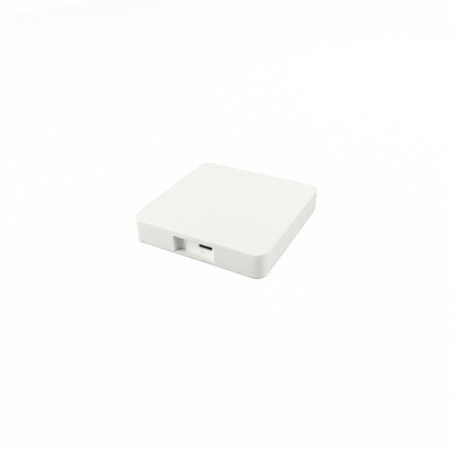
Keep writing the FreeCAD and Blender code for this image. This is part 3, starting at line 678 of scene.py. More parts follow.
@dataclass(frozen=True)
class Finish:
    """How one material slot looks.

    The grain runs through the object's own coordinates, the tone drifts between the two colours, and the
    roughness drifts between its two values.
    """

    slot: str
    colour: tuple[float, float, float]
    colour_drift: tuple[float, float, float]
    roughness: tuple[float, float]
    effect: Effect = Effect.MOULD
    rate: float = 4000.0
    relief: float = 0.01 * MM
    metallic: float = 0.0
    coat: float = 0.0
    transmission: float = 0.0
    refraction: float = 1.5

    def material(self) -> Material:
        """The finish's material, built the first time that it is asked for."""
        return bpy.data.materials.get(self.slot + "_finish") or self.build()

    def build(self) -> Material:
        """Build the material's nodes.

        Returns:
            The material.
        """
        made = bpy.data.materials.new(self.slot + "_finish")
        made.use_nodes = True
        graph = Graph(made.node_tree)
        place = graph.add("ShaderNodeTexCoord").outputs["Object"]
        grain = graph.add("ShaderNodeGroup", {"node_tree": self.effect.tree()}, Position=place)
        grain.inputs[1].default_value = self.rate
        bump = graph.add(
            "ShaderNodeBump", Height=self.height(graph, place, grain.outputs["Height"]), Strength=1.0,
            Distance=self.relief)
        shader = graph.add(
            "ShaderNodeBsdfPrincipled",
            Base_Color=self.paint(graph, place, grain.outputs["Tone"]),
            Roughness=graph.between(grain.outputs["Gloss"], *self.roughness), Metallic=self.metallic,
            IOR=self.refraction, Coat_Weight=self.coat, Transmission_Weight=self.transmission,
            Normal=bump.outputs[0])
        graph.add("ShaderNodeOutputMaterial", Surface=shader.outputs[0])
        return made

    def paint(self, graph: Graph, place: NodeSocket, tone: NodeSocket) -> NodeSocket:
        """The colour over the surface."""
        return graph.blend(tone, self.colour, self.colour_drift)

    def height(self, graph: Graph, place: NodeSocket, grain: NodeSocket) -> NodeSocket:
        """The relief over the surface, from 0 to about 1."""
        return grain


@dataclass(frozen=True)
class BoardFinish(Finish):
    """Solder resist over copper: tracks stand a little proud and look a little paler."""

    track_colour: tuple[float, float, float] = (0.05, 0.3, 0.15)
    tracks_per_metre: float = 420.0
    track_width: float = 0.06
    track_length: float = 2.3
    track_pitch: float = 0.5
    via_share: float = 0.7
    via_edge: tuple[float, float] = (0.16, 0.2)
    peel: float = 0.15

    def tracks(self, graph: Graph, place: NodeSocket) -> NodeSocket:
        """Where the tracks and the plated holes are.

        Args:
            graph: The material's graph.
            place: The object's own coordinates.

        Returns:
            An amount from 0 to 1.
        """
        flat = graph.add("ShaderNodeMapping", Vector=place, Scale=(1.0, 1.0, 0.0)).outputs[0]
        runs = graph.add(
            "ShaderNodeTexBrick", {"offset": 0.37, "squash": 1.6, "squash_frequency": 3}, Vector=flat,
            Scale=self.tracks_per_metre, Mortar_Size=self.track_width, Mortar_Smooth=0.2,
            Brick_Width=self.track_length, Row_Height=self.track_pitch)
        pads = graph.add(
            "ShaderNodeTexVoronoi", {"feature": "F1"}, Vector=flat, Scale=self.tracks_per_metre * self.via_share,
            Randomness=0.85)
        vias = graph.add(
            "ShaderNodeMapRange", {"interpolation_type": "SMOOTHSTEP"}, Value=pads.outputs["Distance"],
            From_Min=self.via_edge[0], From_Max=self.via_edge[1], To_Min=1.0, To_Max=0.0)
        return graph.maths("MAXIMUM", runs.outputs["Fac"], vias.outputs[0])

    def paint(self, graph: Graph, place: NodeSocket, tone: NodeSocket) -> NodeSocket:
        """The resist's colour, paler over copper."""
        base = graph.blend(tone, self.colour, self.colour_drift)
        return graph.blend(self.tracks(graph, place), base, self.track_colour)

    def height(self, graph: Graph, place: NodeSocket, grain: NodeSocket) -> NodeSocket:
        """The tracks' relief, with the resist's faint orange peel."""
        return graph.maths("ADD", self.tracks(graph, place), graph.maths("MULTIPLY", grain, self.peel))


FINISHES: dict[str, Finish] = {
    finish.slot: finish
    for finish in (
        Finish("cover_white", (0.918, 0.915, 0.882), (0.908, 0.905, 0.872), (0.82, 0.92), rate=5200.0,
               relief=0.012 * MM),
        Finish("tray_white", (0.898, 0.895, 0.860), (0.888, 0.885, 0.850), (0.82, 0.92), rate=4600.0,
               relief=0.014 * MM),
        Finish("button_grey", (0.60, 0.60, 0.59), (0.64, 0.64, 0.63), (0.40, 0.55), relief=0.01 * MM),
        # The steel is darker than bright nickel plate: painted shade standing in for the shadow inside the socket's
        # opening, carried by every piece with this finish.
        Finish("steel", (0.44, 0.44, 0.45), (0.54, 0.54, 0.54), (0.26, 0.42), Effect.ROLLED, 9000.0,
               0.004 * MM, metallic=1.0),
        Finish("screw_steel", (0.42, 0.42, 0.44), (0.56, 0.56, 0.57), (0.28, 0.45), Effect.ROLLED, 7000.0,
               0.006 * MM, metallic=1.0),
        # The insulator is black plastic, made darker still as painted shade for the shadow inside the socket.
        Finish("insulator_black", (0.010, 0.010, 0.011), (0.018, 0.018, 0.019), (0.46, 0.62)),
        Finish("gold_contact", (0.80, 0.60, 0.24), (0.86, 0.70, 0.36), (0.18, 0.34), Effect.ROLLED, 12000.0,
               0.002 * MM, metallic=1.0),
        BoardFinish("board_green", (0.012, 0.13, 0.060), (0.018, 0.16, 0.075), (0.22, 0.34), rate=900.0,
                    relief=0.03 * MM, coat=0.4),
        BoardFinish("module_board", (0.010, 0.030, 0.070), (0.014, 0.040, 0.085), (0.22, 0.34), rate=900.0,
                    relief=0.03 * MM, coat=0.4, track_colour=(0.03, 0.08, 0.15), tracks_per_metre=700.0),
        Finish("chip_black", (0.028, 0.028, 0.030), (0.045, 0.045, 0.048), (0.48, 0.68), rate=9000.0,
               relief=0.012 * MM),
        Finish("ferrite_grey", (0.11, 0.11, 0.115), (0.16, 0.16, 0.165), (0.55, 0.75), rate=7000.0,
               relief=0.02 * MM),
        Finish("can_aluminium", (0.70, 0.70, 0.71), (0.80, 0.80, 0.80), (0.22, 0.38), Effect.ROLLED, 8000.0,
               0.004 * MM, metallic=1.0),
        Finish("ceramic_tan", (0.44, 0.30, 0.18), (0.56, 0.42, 0.28), (0.35, 0.50), rate=8000.0),
        Finish("resistor_black", (0.030, 0.030, 0.032), (0.050, 0.050, 0.052), (0.25, 0.40), rate=8000.0),
        Finish("lamp_white", (0.80, 0.78, 0.66), (0.86, 0.84, 0.72), (0.20, 0.32), coat=0.3),
        Finish("clear_guide", (0.86, 0.88, 0.87), (0.90, 0.91, 0.90), (0.22, 0.34), rate=1500.0,
               relief=0.004 * MM, transmission=0.45, refraction=1.49),
        Finish("foot_rubber", (0.30, 0.30, 0.295), (0.36, 0.36, 0.355), (0.72, 0.88), rate=3500.0,
               relief=0.03 * MM),
    )
}


class Layout:
    """The places that several sub-assemblies share, read from the frame."""

    def __init__(self, seam_rise: float = 2.7 * MM) -> None:
        """Read the spaces of the nodes that set the places.

        Args:
            seam_rise: How far the seam lies above the tray's lower face.
        """
        cover, self.board, self.port = space("top_cover"), space("main_board"), space("usb_c_shell")
        self.front, self.back, self.side = cover.low.y, cover.high.y, cover.high.x
        self.bottom, self.cover_bottom, self.top = space("base_tray").low.z, cover.low.z, cover.high.z
        self.seam = self.bottom + seam_rise
        self.port_x = (self.port.low.x + self.port.high.x) / 2
        self.port_z = (self.board.high.z + self.port.high.z) / 2


@dataclass
class Assembly(ABC):
    """A sub-assembly of the hub."""

    layout: Layout

    @abstractmethod
    def build(self) -> None:
        """Build all its pieces."""


@dataclass
class Housing(Assembly):
    """The moulded cover and tray, with the recess for the port and all that is moulded onto them."""

    corner: float = 6.9 * MM
    corner_flats: int = 20
    top_edge: float = 1.0 * MM
    top_flats: int = 8
    bottom_edge: float = 2.4 * MM
    bottom_flats: int = 12
    seam_edge: float = 0.08 * MM
    outline_slack: tuple[float, float] = (0.0045 * MM, 0.05 * MM)
    wall: float = 1.8 * MM
    lip: float = 0.8 * MM
    tongue_rise: float = 1.6 * MM
    tongue_gap: float = 0.1 * MM
    tongue_end_gap: float = 0.3 * MM
    recess_left: float = -13.05 * MM
    recess_right: float = 13.85 * MM
    recess_height: float = 11.0 * MM
    recess_depth: float = 4.2 * MM
    recess_wall: float = 1.4 * MM
    recess_corner: float = 0.6 * MM
    mouth_edge: float = 0.3 * MM
    port_width: float = 9.34 * MM
    port_height: float = 3.56 * MM
    port_round: float = 0.48
    port_edge: float = 0.18 * MM
    window_radius: float = 1.3 * MM
    rib: float = 0.9 * MM
    rib_rise: float = 0.8 * MM
    rib_pitch: float = 24.0 * MM
    hook_spacing: float = 50.0 * MM
    hook_width: float = 6.0 * MM
    hook_thickness: float = 1.0 * MM
    hook_gap: float = 0.15 * MM
    hook_rise: float = 4.6 * MM
    hook_nose: float = 0.55 * MM
    hook_land: float = 0.4 * MM
    hook_head: float = 1.8 * MM
    hook_clearance: float = 0.1 * MM
    post_spacing: float = 32.0 * MM
    post_inset: float = 4.0 * MM
    post_side: float = 3.0 * MM
    post_gap: float = 0.2 * MM
    boss_half: float = 2.65 * MM
    boss_corner: float = 0.6 * MM
    port_rib: float = 8.4 * MM
    tab_spacing: float = 32.0 * MM
    tab_width: float = 2.0 * MM
    tab_depth: float = 1.0 * MM
    tab_rise: float = 0.5 * MM
    rest_width: float = 4.4 * MM
    rest_depth: float = 2.6 * MM
    button_gap: float = 0.2 * MM
    button_hole: float = 3.0 * MM
    collar_wall: float = 1.0 * MM
    collar_rise: float = 1.5 * MM
    foot_gap: float = 0.15 * MM
    pilot_radius: float = 1.0 * MM
    pilot_gap: float = 0.2 * MM
    vent_count: int = 9
    vent_pitch: float = 3.6 * MM
    vent_width: float = 1.4 * MM
    vent_length: float = 20.0 * MM
    vent_round: float = 0.49
    opening_edge: float = 0.15 * MM

    @property
    def recess_top(self) -> float:
        """The level of the recess's upper wall."""
        return self.layout.seam + self.recess_height

    @property
    def recess_back(self) -> float:
        """Where the recess's back wall is."""
        return self.layout.front + self.recess_depth

    def slab(self, inset: float, low: float, high: float) -> BMesh:
        """The housing's plan as a slab between two levels.

        Args:
            inset: How far it is drawn in all round.
            low: The lower level.
            high: The upper level.

        Returns:
            Its mesh.
        """
        reach, place = self.layout.side - inset, self.layout
        corners = (-reach, place.front + inset, low), (reach, place.back - inset, high)
        return prism(*corners, Axis.Z, self.corner - inset, self.corner_flats)

    def on_each_side(self, profile: Profile, width: float) -> BMesh:
        """Solids against the inner faces of the four walls, two on each.

        Args:
            profile: Their outline, as (outwards from the wall's inner face, height) points.
            width: Their width along the wall.

        Returns:
            A mesh with the eight solids.
        """
        shape = bmesh.new()
        reach = self.layout.side - self.wall
        for turn in range(4):
            for middle in pair(self.hook_spacing):
                outline = [Vector((reach + out, middle - width / 2, height)) for out, height in profile]
                bmesh.ops.rotate(
                    shape, cent=(0, 0, 0), matrix=Matrix.Rotation(turn * math.pi / 2, 3, "Z"),
                    verts=extruded(shape, outline, (0, width, 0)))
        return shape

    def cover_void(self) -> BMesh:
        """The space inside the cover, with its ribs, posts and the recess's walls left out of it.

        Returns:
            Its mesh.
        """
        place, margin, reach = self.layout, self.recess_wall, self.layout.side
        ceiling = place.top - self.wall
        void = Solid(self.slab(self.wall, 0.0, ceiling), "cover_void")
        void.join(self.slab(self.lip, -EMBED, place.seam + self.tongue_rise + self.tongue_gap))
        kept = bmesh.new()
        count = int((reach - self.wall) // self.rib_pitch)
        for index in range(-count, count + 1):
            middle = index * self.rib_pitch
            for centre, half in (((middle, 0), (self.rib / 2, reach)), ((0, middle), (reach, self.rib / 2))):
                block(kept, *around(centre, half, ceiling - self.rib_rise, place.top))
        block(
            kept, (self.recess_left - margin, place.front - self.wall, -self.wall),
            (self.recess_right + margin, self.recess_back + margin, self.recess_top + margin))
        for x in pair(self.post_spacing):
            centre, half = (x, place.board.high.y - self.post_inset), self.post_side / 2
            block(kept, *around(centre, (half, half), place.board.high.z + self.post_gap, place.top))
        return void.cut(kept, overlapping=True).as_shape()

    def recess_space(self) -> BMesh:
        """The recess itself, open to the front and below, with round upper corners.

        Returns:
            Its mesh.
        """
        place, shape = self.layout, bmesh.new()
        edges = block(
            shape, (self.recess_left, place.front - self.wall, place.seam - self.wall),
            (self.recess_right, self.recess_back, self.recess_top))
        round_edges(shape, picked(edges, Axis.Y, z=self.recess_top), self.recess_corner, Flats.BEND)
        return shape

    def port_space(self, near: float, far: float) -> Space:
        """The space of the socket's opening, between two places along the housing."""
        x, z, half, rise = self.layout.port_x, self.layout.port_z, self.port_width / 2, self.port_height / 2
        return Space(Vector((x - half, near, z - rise)), Vector((x + half, far, z + rise)))

    def cover_openings(self) -> BMesh:
        """What is cut through the cover's walls, or into them.

        Returns:
            A mesh with the pockets for the noses of the hooks, the lens's window and the socket's opening.
        """
        back, wall, bearing = self.layout.back, self.wall, self.layout.seam + self.hook_rise
        low, high, depth = bearing - self.hook_clearance, bearing + self.hook_head, self.hook_nose + self.hook_clearance
        shape = self.on_each_side(
            [(-wall, low), (depth, low), (depth, high), (-wall, high)], self.hook_width + 4 * self.hook_clearance)
        centre = (0, 0, space("light_guide").middle.z)
        drum(centre, self.window_radius, back - 2 * wall, back + wall, Sides.HOLE, Axis.Y, shape)
        corners = self.port_space(self.recess_back - wall / 2, self.recess_back + wall)
        return prism(*corners, Axis.Y, self.port_height * self.port_round, Flats.ROUND, shape)

    def on_outline(self, point: Vector) -> bool:
        """Whether a point lies on the outer face of the side walls.

        Args:
            point: The point.

        Returns:
            Whether it does, within a slack for the flats and another for the corners.
        """
        x, y = abs(point.x) - self.layout.side, abs(point.y) - self.layout.back
        flat, turn = self.outline_slack
        return max(x, y) > -flat or math.hypot(x + self.corner, y + self.corner) > self.corner - turn

    def cover(self) -> None:
        """The cover: top and side walls in one moulding."""
        place, bottom = self.layout, self.layout.cover_bottom
        shell = self.slab(0.0, bottom, place.top)
        round_edges(shell, picked(shell.edges, z=place.top), self.top_edge, self.top_flats)
        cover = Solid(shell, "cover_shell")
        cover.cut(self.cover_void()).cut(self.recess_space()).cut(self.cover_openings())
        mouth = (self.recess_left, place.front, bottom), (self.recess_right, place.front, self.recess_top)
        cover.soften(
            self.mouth_edge, Flats.RIM, lambda edge: lies_within(edge, *mouth) and not lies_at(edge, Axis.Z, bottom))
        port = self.port_space(self.recess_back, self.recess_back)
        cover.soften(self.port_edge, Flats.FINE, lambda edge: lies_within(edge, *port))
        cover.soften(
            self.seam_edge, Flats.HAIR,
            lambda edge: lies_at(edge, Axis.Z, bottom) and all(self.on_outline(vert.co) for vert in edge.verts))
        cover.dress("cover_white", "top_cover")

    def snap_hooks(self) -> BMesh:
        """The tray's hooks: upright arms, each with a nose and a ramp that leads it in.

        Returns:
            A mesh with the eight hooks.
        """
        near, tongue_top = -self.hook_gap, self.layout.seam + self.tongue_rise
        far, floor = near - self.hook_thickness, self.layout.bottom + self.wall - EMBED
        bearing, nose = self.layout.seam + self.hook_rise, self.hook_nose
        top = bearing + self.hook_head
        profile = [
            (far, floor), (EMBED, floor), (EMBED, tongue_top), (near, tongue_top), (near, bearing),
            (nose, bearing), (nose, bearing + self.hook_land), (near, top), (far, top)]
        return self.on_each_side(profile, self.hook_width)

    def tongue(self) -> BMesh:
        """The tongue that stands up from the tray inside the cover, left out behind the recess.

        Returns:
            Its mesh.
        """
        place, margin, opening = self.layout, self.recess_wall + self.tongue_end_gap, bmesh.new()
        floor, top = place.bottom + self.wall, place.seam + self.tongue_rise
        block(
            opening, (self.recess_left - margin, place.front, place.seam),
            (self.recess_right + margin, place.front + 2 * self.wall, top + self.wall))
        ring = Solid(self.slab(self.lip + self.tongue_gap, floor, top), "tongue_ring")
        return ring.cut(self.slab(self.wall, floor - EMBED, top + self.wall)).cut(opening).as_shape()

    def board_seats(self) -> BMesh:
        """The screw bosses, the ribs beside the socket, and the rests and tabs at the board's far edge.

        Returns:
            A mesh with all of them.
        """
        floor, board, shape = self.layout.bottom + self.wall - EMBED, self.layout.board, bmesh.new()
        level, near, far = board.low.z, board.low.y, board.high.y
        for screw in solids("board_screws"):
            seat = around(screw.middle, (self.boss_half, self.boss_half), floor, level)
            prism(*seat, Axis.Z, self.boss_corner, Flats.CORNER, shape)
        for side in (-1, 1):
            x = self.layout.port_x + side * (self.layout.port.radius + 2 * self.rib)
            block(shape, (x - self.rib, near, floor), (x + self.rib, near + self.port_rib, level))
        for x in pair(self.tab_spacing):
            half = self.rest_width / 2
            block(
                shape, (x - half, far - self.tab_depth - self.rest_depth, floor),
                (x + half, far + self.tab_depth, level))
            half = (self.tab_width / 2, self.tab_depth)
            block(shape, *around((x, far), half, level - EMBED, board.high.z + self.tab_rise))
        return shape

    def tray_openings(self, button: Vector, collar: float) -> BMesh:
        """What is cut out of the tray.

        Args:
            button: The middle of the button.
            collar: The radius inside the button's collar.

        Returns:
            A mesh with the button's hole, the seats of the feet, the pilot holes and the vents.
        """
        place, floor, shape = self.layout, self.layout.bottom + self.wall, bmesh.new()
        drum(button, self.button_hole, -EMBED, floor + EMBED, Sides.LARGE, shape=shape)
        drum(button, collar, floor, floor + 2 * self.collar_rise, Sides.COLLAR, shape=shape)
        for foot in map(space, FEET):
            drum(foot.middle, foot.radius + self.foot_gap, -EMBED, foot.high.z, Sides.LARGE, shape=shape)
        for screw in solids("board_screws"):
            low = screw.low.z - self.pilot_gap
            drum(screw.middle, self.pilot_radius, low, place.board.high.z, Sides.PILOT, shape=shape)
        for index in range(self.vent_count):
            middle = ((index - (self.vent_count - 1) / 2) * self.vent_pitch, 0)
            vent = around(middle, (self.vent_width / 2, self.vent_length / 2), -EMBED, place.seam)
            prism(*vent, Axis.Z, self.vent_width * self.vent_round, Flats.WIDE, shape)
        return shape

    def tray(self) -> None:
        """The tray: the moulded lower shell with the sill of the recess, hooks, board seats and foot seats."""
        place, margin, sill = self.layout, self.recess_wall, bmesh.new()
        floor, button = place.bottom + self.wall, space("reset_button")
        shell = self.slab(0.0, place.bottom, place.seam)
        round_edges(shell, picked(shell.edges, z=place.bottom), self.bottom_edge, self.bottom_flats)
        round_edges(shell, picked(shell.edges, z=place.seam), self.seam_edge, Flats.HAIR)
        block(
            sill, (self.recess_left - margin, place.front + self.wall / 2, floor - EMBED),
            (self.recess_right + margin, self.recess_back + margin, place.seam))
        collar, top = button.radius + self.button_gap, floor + self.collar_rise
        ring = drum(button.middle, collar + self.collar_wall, floor - EMBED, top, Sides.COLLAR)
        tray = Solid(shell, "tray_shell").cut(self.slab(self.wall, floor, place.seam + self.wall))
        tray.join(self.tongue()).join(self.snap_hooks()).join(self.board_seats(), overlapping=True)
        tray.join(sill).join(ring).cut(self.tray_openings(button.middle, collar), overlapping=True)
        reach = place.side - self.bottom_edge
        tray.soften(
            self.opening_edge, Flats.HAIR,
            lambda edge: lies_at(edge, Axis.Z, place.bottom) and all(
                max(abs(vert.co.x), abs(vert.co.y)) < reach for vert in edge.verts))
        tray.dress("tray_white", "base_tray")

    def build(self) -> None:
        """Build the cover and the tray."""
        self.cover()
        self.tray()


@dataclass
class Socket(Assembly):
    """The USB-C socket: a drawn shell with its legs, an insulator and its contacts."""

    corner: float = 1.3 * MM
    sheet: float = 0.3 * MM
    sheet_edge: float = 0.09 * MM
    base_length: float = 2.2 * MM
    tongue_width: float = 6.69 * MM
    tongue_height: float = 0.7 * MM
    tongue_lead: float = 0.12 * MM
    tongue_corner: float = 0.45 * MM
    leg_width: float = 1.1 * MM
    leg_tip: float = 0.33 * MM
    leg_steps: tuple[float, float] = (1.4 * MM, 5.6 * MM)
    contact_edge: float = 0.03 * MM

    def legs(self, gap: float, low: float, high: float) -> list[Space]:
        """The spaces of the shell's legs between two levels.

        Args:
            gap: How much room is added all round.
            low: The lower level.
            high: The upper level.

        Returns:
            One space for each leg.
        """
        half, port, sheet = self.leg_width / 2 + gap, self.layout.port, self.sheet
        rows = [self.layout.board.low.y + step for step in self.leg_steps]
        return [
            Space(Vector((x - gap, y - half, low)), Vector((x + sheet + gap, y + half, high)))
            for x in (port.low.x, port.high.x - sheet) for y in rows]

    def shell(self) -> None:
        """The steel shell: a drawn tube with rounded rims, and four legs with pointed ends."""
        (low, high), base, sheet, legs = self.layout.port, self.layout.board.high.z, self.sheet, bmesh.new()
        near, far = low.y, space("usb_c_tongue").high.y
        for leg in self.legs(0.0, low.z, self.layout.port_z):
            round_edges(legs, picked(block(legs, *leg), Axis.X, z=low.z), self.leg_tip, Flats.CUT)
        tube = prism((low.x, near, base), (high.x, far, high.z), Axis.Y, self.corner, Flats.SMOOTH)
        bore = prism(
            (low.x + sheet, near - sheet, base + sheet), (high.x - sheet, far + sheet, high.z - sheet), Axis.Y,
            self.corner - sheet, Flats.SMOOTH)
        shell = Solid(tube, "socket_shell").join(legs).cut(bore)
        shell.soften(
            self.sheet_edge, Flats.FINE, lambda edge: lies_at(edge, Axis.Y, near) or lies_at(edge, Axis.Y, far))
        shell.dress("steel", "usb_c_shell")

    def insulator(self) -> None:
        """The moulded insulator: the base at the back of the shell, and the tongue with its lead-in."""
        (low, high), x, z, tongue = space("usb_c_tongue"), self.layout.port_x, self.layout.port_z, bmesh.new()
        half, rise, near = self.tongue_width / 2, self.tongue_height / 2, low.y
        base = prism(
            (low.x, high.y - self.base_length, low.z), high, Axis.Y, self.corner - self.sheet, Flats.SMOOTH)
        edges = block(tongue, (x - half, near, z - rise), (x + half, high.y - self.base_length / 2, z + rise))
        round_edges(tongue, picked(edges, Axis.Z, y=near), self.tongue_corner, Flats.BEND)
        front = [
            edge for edge in tongue.edges
            if abs(edge.verts[0].co.z - edge.verts[1].co.z) < TOUCH
            and all(vert.co.y < near + self.tongue_corner + TOUCH for vert in edge.verts)
            and not runs_along(edge, Axis.Y) and edge.calc_face_angle() > SHARP_ANGLE]
        round_edges(tongue, front, self.tongue_lead, Flats.FINE)
        Solid(base, "socket_insulator").join(tongue).dress("insulator_black", "usb_c_tongue")

    def contacts(self) -> None:
        """The contact strips on the tongue and the tails behind the shell, each with rounded edges."""
        shape = bmesh.new()
        for low, high in solids("usb_c_contacts"):
            upper = high.z if low.z > self.layout.port_z - self.tongue_height / 2 else low.z
            round_edges(shape, picked(block(shape, low, high), z=upper), self.contact_edge, Flats.HAIR)
        Solid(shape, "socket_contacts").dress("gold_contact", "usb_c_contacts")

    def build(self) -> None:
        """Build the shell, the insulator and the contacts."""
        self.shell()
        self.insulator()
        self.contacts()


@dataclass
class Feet(Assembly):
    """The four round feet."""

    edge: float = 0.35 * MM
    crown: float = 0.12 * MM
    crown_share: float = 0.45
    flat_share: float = 0.7

    def build(self) -> None:
        """Build the feet: discs with a rounded lower edge and a faintly hollow face."""
        for number, node in enumerate(FEET, 1):
            foot = space(node)
            radius, low, high = foot.radius, foot.low.z, foot.high.z
            hollow = [(0.0, low + self.crown), (radius * self.crown_share, low + self.crown)]
            rim = [(radius * self.flat_share, low)] + lower_rim(radius, self.edge, low)
            disc = turned(hollow + rim + [(radius, high), (0.0, high)], foot.middle, Sides.LARGE)
            Solid(disc, f"foot_{number}").dress("foot_rubber", node)


@dataclass
class ResetSwitch(Assembly):
    """The button in the underside, and the snap-dome switch that it presses under the board."""

    head_radius: float = 2.8 * MM
    head_edge: float = 0.3 * MM
    dish: float = 0.18 * MM
    dish_share: float = 0.72
    flange_low: float = 2.65 * MM
    flange_high: float = 3.25 * MM
    flange_edge: float = 0.1 * MM
    stem_radius: float = 1.5 * MM
    body_corner: float = 0.35 * MM
    body_base: float = 0.3 * MM
    cavity_radius: float = 1.9 * MM
    plate_corner: float = 0.5 * MM
    plate_edge: float = 0.05 * MM
    plate_hole: float = 1.15 * MM
    stud_inset: float = 0.7 * MM
    stud_radius: float = 0.25 * MM
    stud_head: tuple[tuple[float, float], ...] = (
        (0.0, -0.15 * MM), (0.252 * MM, -0.135 * MM), (0.42 * MM, -0.06 * MM), (0.42 * MM, 0.0))
    stud_gap: float = 0.03 * MM
    terminal_spacing: float = 3.7 * MM
    terminal_width: float = 0.7 * MM
    terminal_reach: float = 0.9 * MM
    terminal_rise: float = 0.55 * MM
    terminal_sheet: float = 0.15 * MM
    dome_sheet: float = 0.1 * MM
    dome_points: int = 14
    dome_pressed_share: float = 0.2 / 0.45
    plunger_radius: float = 1.0 * MM
    plunger_edge: float = 0.14 * MM
    plunger_gap: float = 0.02 * MM

    def button(self) -> None:
        """The button: a dished head with a rounded rim, a flange and a stem."""
        button, head, edge = space("reset_button"), self.head_radius, self.flange_edge
        low, high, flange = button.low.z, button.high.z, button.radius
        under, over, stem = self.flange_low, self.flange_high, self.stem_radius
        dish = [
            (head * self.dish_share * math.sin(turn), low + self.dish * math.cos(turn) ** 2) for turn in QUARTER]
        profile = dish + lower_rim(head, self.head_edge, low) + [
            (head, under), (flange - edge, under), (flange, under + edge), (flange, over - edge),
            (flange - edge, over), (stem, over), (stem, high), (0.0, high)]
        cap = Solid(turned(profile, button.middle, Sides.LARGE), "button_cap")
        cap.dress("button_grey", "reset_button", body=Body.BUTTON)

    def stud_places(self) -> list[tuple[float, float]]:
        """Where the four studs stand that hold the plate."""
        (low, high), inset = space("switch_plate"), self.stud_inset
        return [(x, y) for x in (low.x + inset, high.x - inset) for y in (low.y + inset, high.y - inset)]

    def body(self) -> None:
        """The moulded body, open below, with the staked studs that hold the plate."""
        body, face, studs, stem = space("switch_housing"), space("switch_plate").low.z, bmesh.new(), self.stud_radius
        low, high = body.low.z, body.high.z
        head = [(radius, face + rise) for radius, rise in self.stud_head]
        for place in self.stud_places():
            turned(head + [(stem, face), (stem, low + EMBED), (0.0, low + EMBED)], place, Sides.PIN, studs)
        cavity = drum(body.middle, self.cavity_radius, low - EMBED, high - self.body_base, Sides.DISC)
        moulded = Solid(prism(*body, Axis.Z, self.body_corner, Flats.CORNER), "switch_body")
        moulded.cut(cavity).join(studs).dress("insulator_black", "switch_housing")

    def terminals(self) -> None:
        """The four bent terminals that hold the switch to the board."""
        body, shape = space("switch_housing"), bmesh.new()
        for x, reach in ((body.low.x, -self.terminal_reach), (body.high.x, self.terminal_reach)):
            for y in pair(self.terminal_spacing, body.middle.y):
                start = (x, y, body.high.z - self.terminal_rise)
                bent_leg(shape, start, reach, body.high.z, self.terminal_sheet, self.terminal_width)
        Solid(shape, "switch_terminals").dress("steel", "switch_housing")

    def plate(self) -> None:
        """The cover plate, with a hole for the plunger and one for each stud."""
        plate = space("switch_plate")
        low, high = plate.low.z - EMBED, plate.high.z + EMBED
        holes = drum(plate.middle, self.plate_hole, low, high, Sides.HOLE)
        for x, y in self.stud_places():
            drum((x, y, 0), self.stud_radius + self.stud_gap, low, high, Sides.PIN, shape=holes)
        cut = Solid(prism(*plate, Axis.Z, self.plate_corner, Flats.BEND), "switch_cover_plate").cut(holes)
        cut.soften(self.plate_edge, Flats.HAIR, lambda edge: lies_at(edge, Axis.Z, plate.low.z))
        cut.dress("steel", "switch_plate")

    def dome(self) -> None:
        """The snap dome: a thin pressed bowl under the plunger."""
        bowl, sheet = space("switch_dome"), self.dome_sheet
        radius, top, height = bowl.radius, bowl.high.z, bowl.high.z - bowl.low.z
        shares = [index / self.dome_points for index in range(self.dome_points + 1)]
        inner = radius * math.sqrt(1 - sheet / height)
        outside = [(radius * share, top - height * (1 - share ** 2)) for share in shares]
        inside = [(inner * share, top - (height - sheet) * (1 - share ** 2)) for share in shares[::-1]]
        dome = Solid(turned(outside + inside, bowl.middle, Sides.DISC), "snap_dome").dress("steel", "switch_dome")
        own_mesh(dome)

    def plunger(self) -> None:
        """The plunger: a head inside the switch, and a stem with a rounded tip."""
        plunger, stem, edge = space("switch_plunger"), self.plunger_radius, self.plunger_edge
        low, high, head = plunger.low.z, plunger.high.z, plunger.radius
        shoulder, cut = space("switch_housing").low.z + self.plunger_gap, edge / 2
        profile = [(0.0, low)] + lower_rim(stem, edge, low) + [
            (stem, shoulder), (head - cut, shoulder), (head, shoulder + cut), (head, high - cut),
            (head - cut, high), (0.0, high)]
        moulded = Solid(turned(profile, plunger.middle, Sides.DISC), "plunger")
        moulded.dress("insulator_black", "switch_plunger", body=Body.BUTTON)

    def build(self) -> None:
        """Build the button and the switch."""
        self.button()
        self.body()
        self.terminals()
        self.plate()
        self.dome()
        self.plunger()


@dataclass
class LightGuide(Assembly):
    """The clear guide from the lamp on the board to the far wall."""

    radius: float = 1.2 * MM
    flange_reach: float = 2.1 * MM
    flange_thickness: float = 0.8 * MM
    flange_corner: float = 0.5 * MM
    wall: float = Housing.wall
    crown: float = 0.25 * MM
    lamp_gap: float = 0.3 * MM

    def build(self) -> None:
        """Build the guide: a leg over the lamp, a slanted face, a flange and a round crowned lens."""
        (_, high), lamp, radius, reach = space("light_guide"), space("status_led"), self.radius, self.flange_reach
        level, inside, foot, shape = high.z - reach, high.y - self.wall, lamp.high.z + self.lamp_gap, bmesh.new()
        neck, near, far = inside - self.flange_thickness, lamp.middle.y - radius, lamp.middle.y + radius
        points = [
            (near, foot), (far, foot), (far, level - radius), (neck + EMBED, level - radius),
            (neck + EMBED, level + radius), (far, level + radius), (near, level - radius)]
        extruded(shape, [Vector((-radius, y, z)) for y, z in points], (2 * radius, 0, 0))
        flange = prism(
            (-reach, neck, level - reach), (reach, inside, level + reach), Axis.Y, self.flange_corner,
            Flats.CORNER)
        lens = drum((0, 0, level), radius, inside - EMBED, high.y, Sides.DISC, Axis.Y)
        round_edges(lens, picked(lens.edges, y=high.y), self.crown, Flats.CORNER)
        Solid(shape, "guide_bar").join(flange).join(lens).dress("clear_guide", "light_guide")


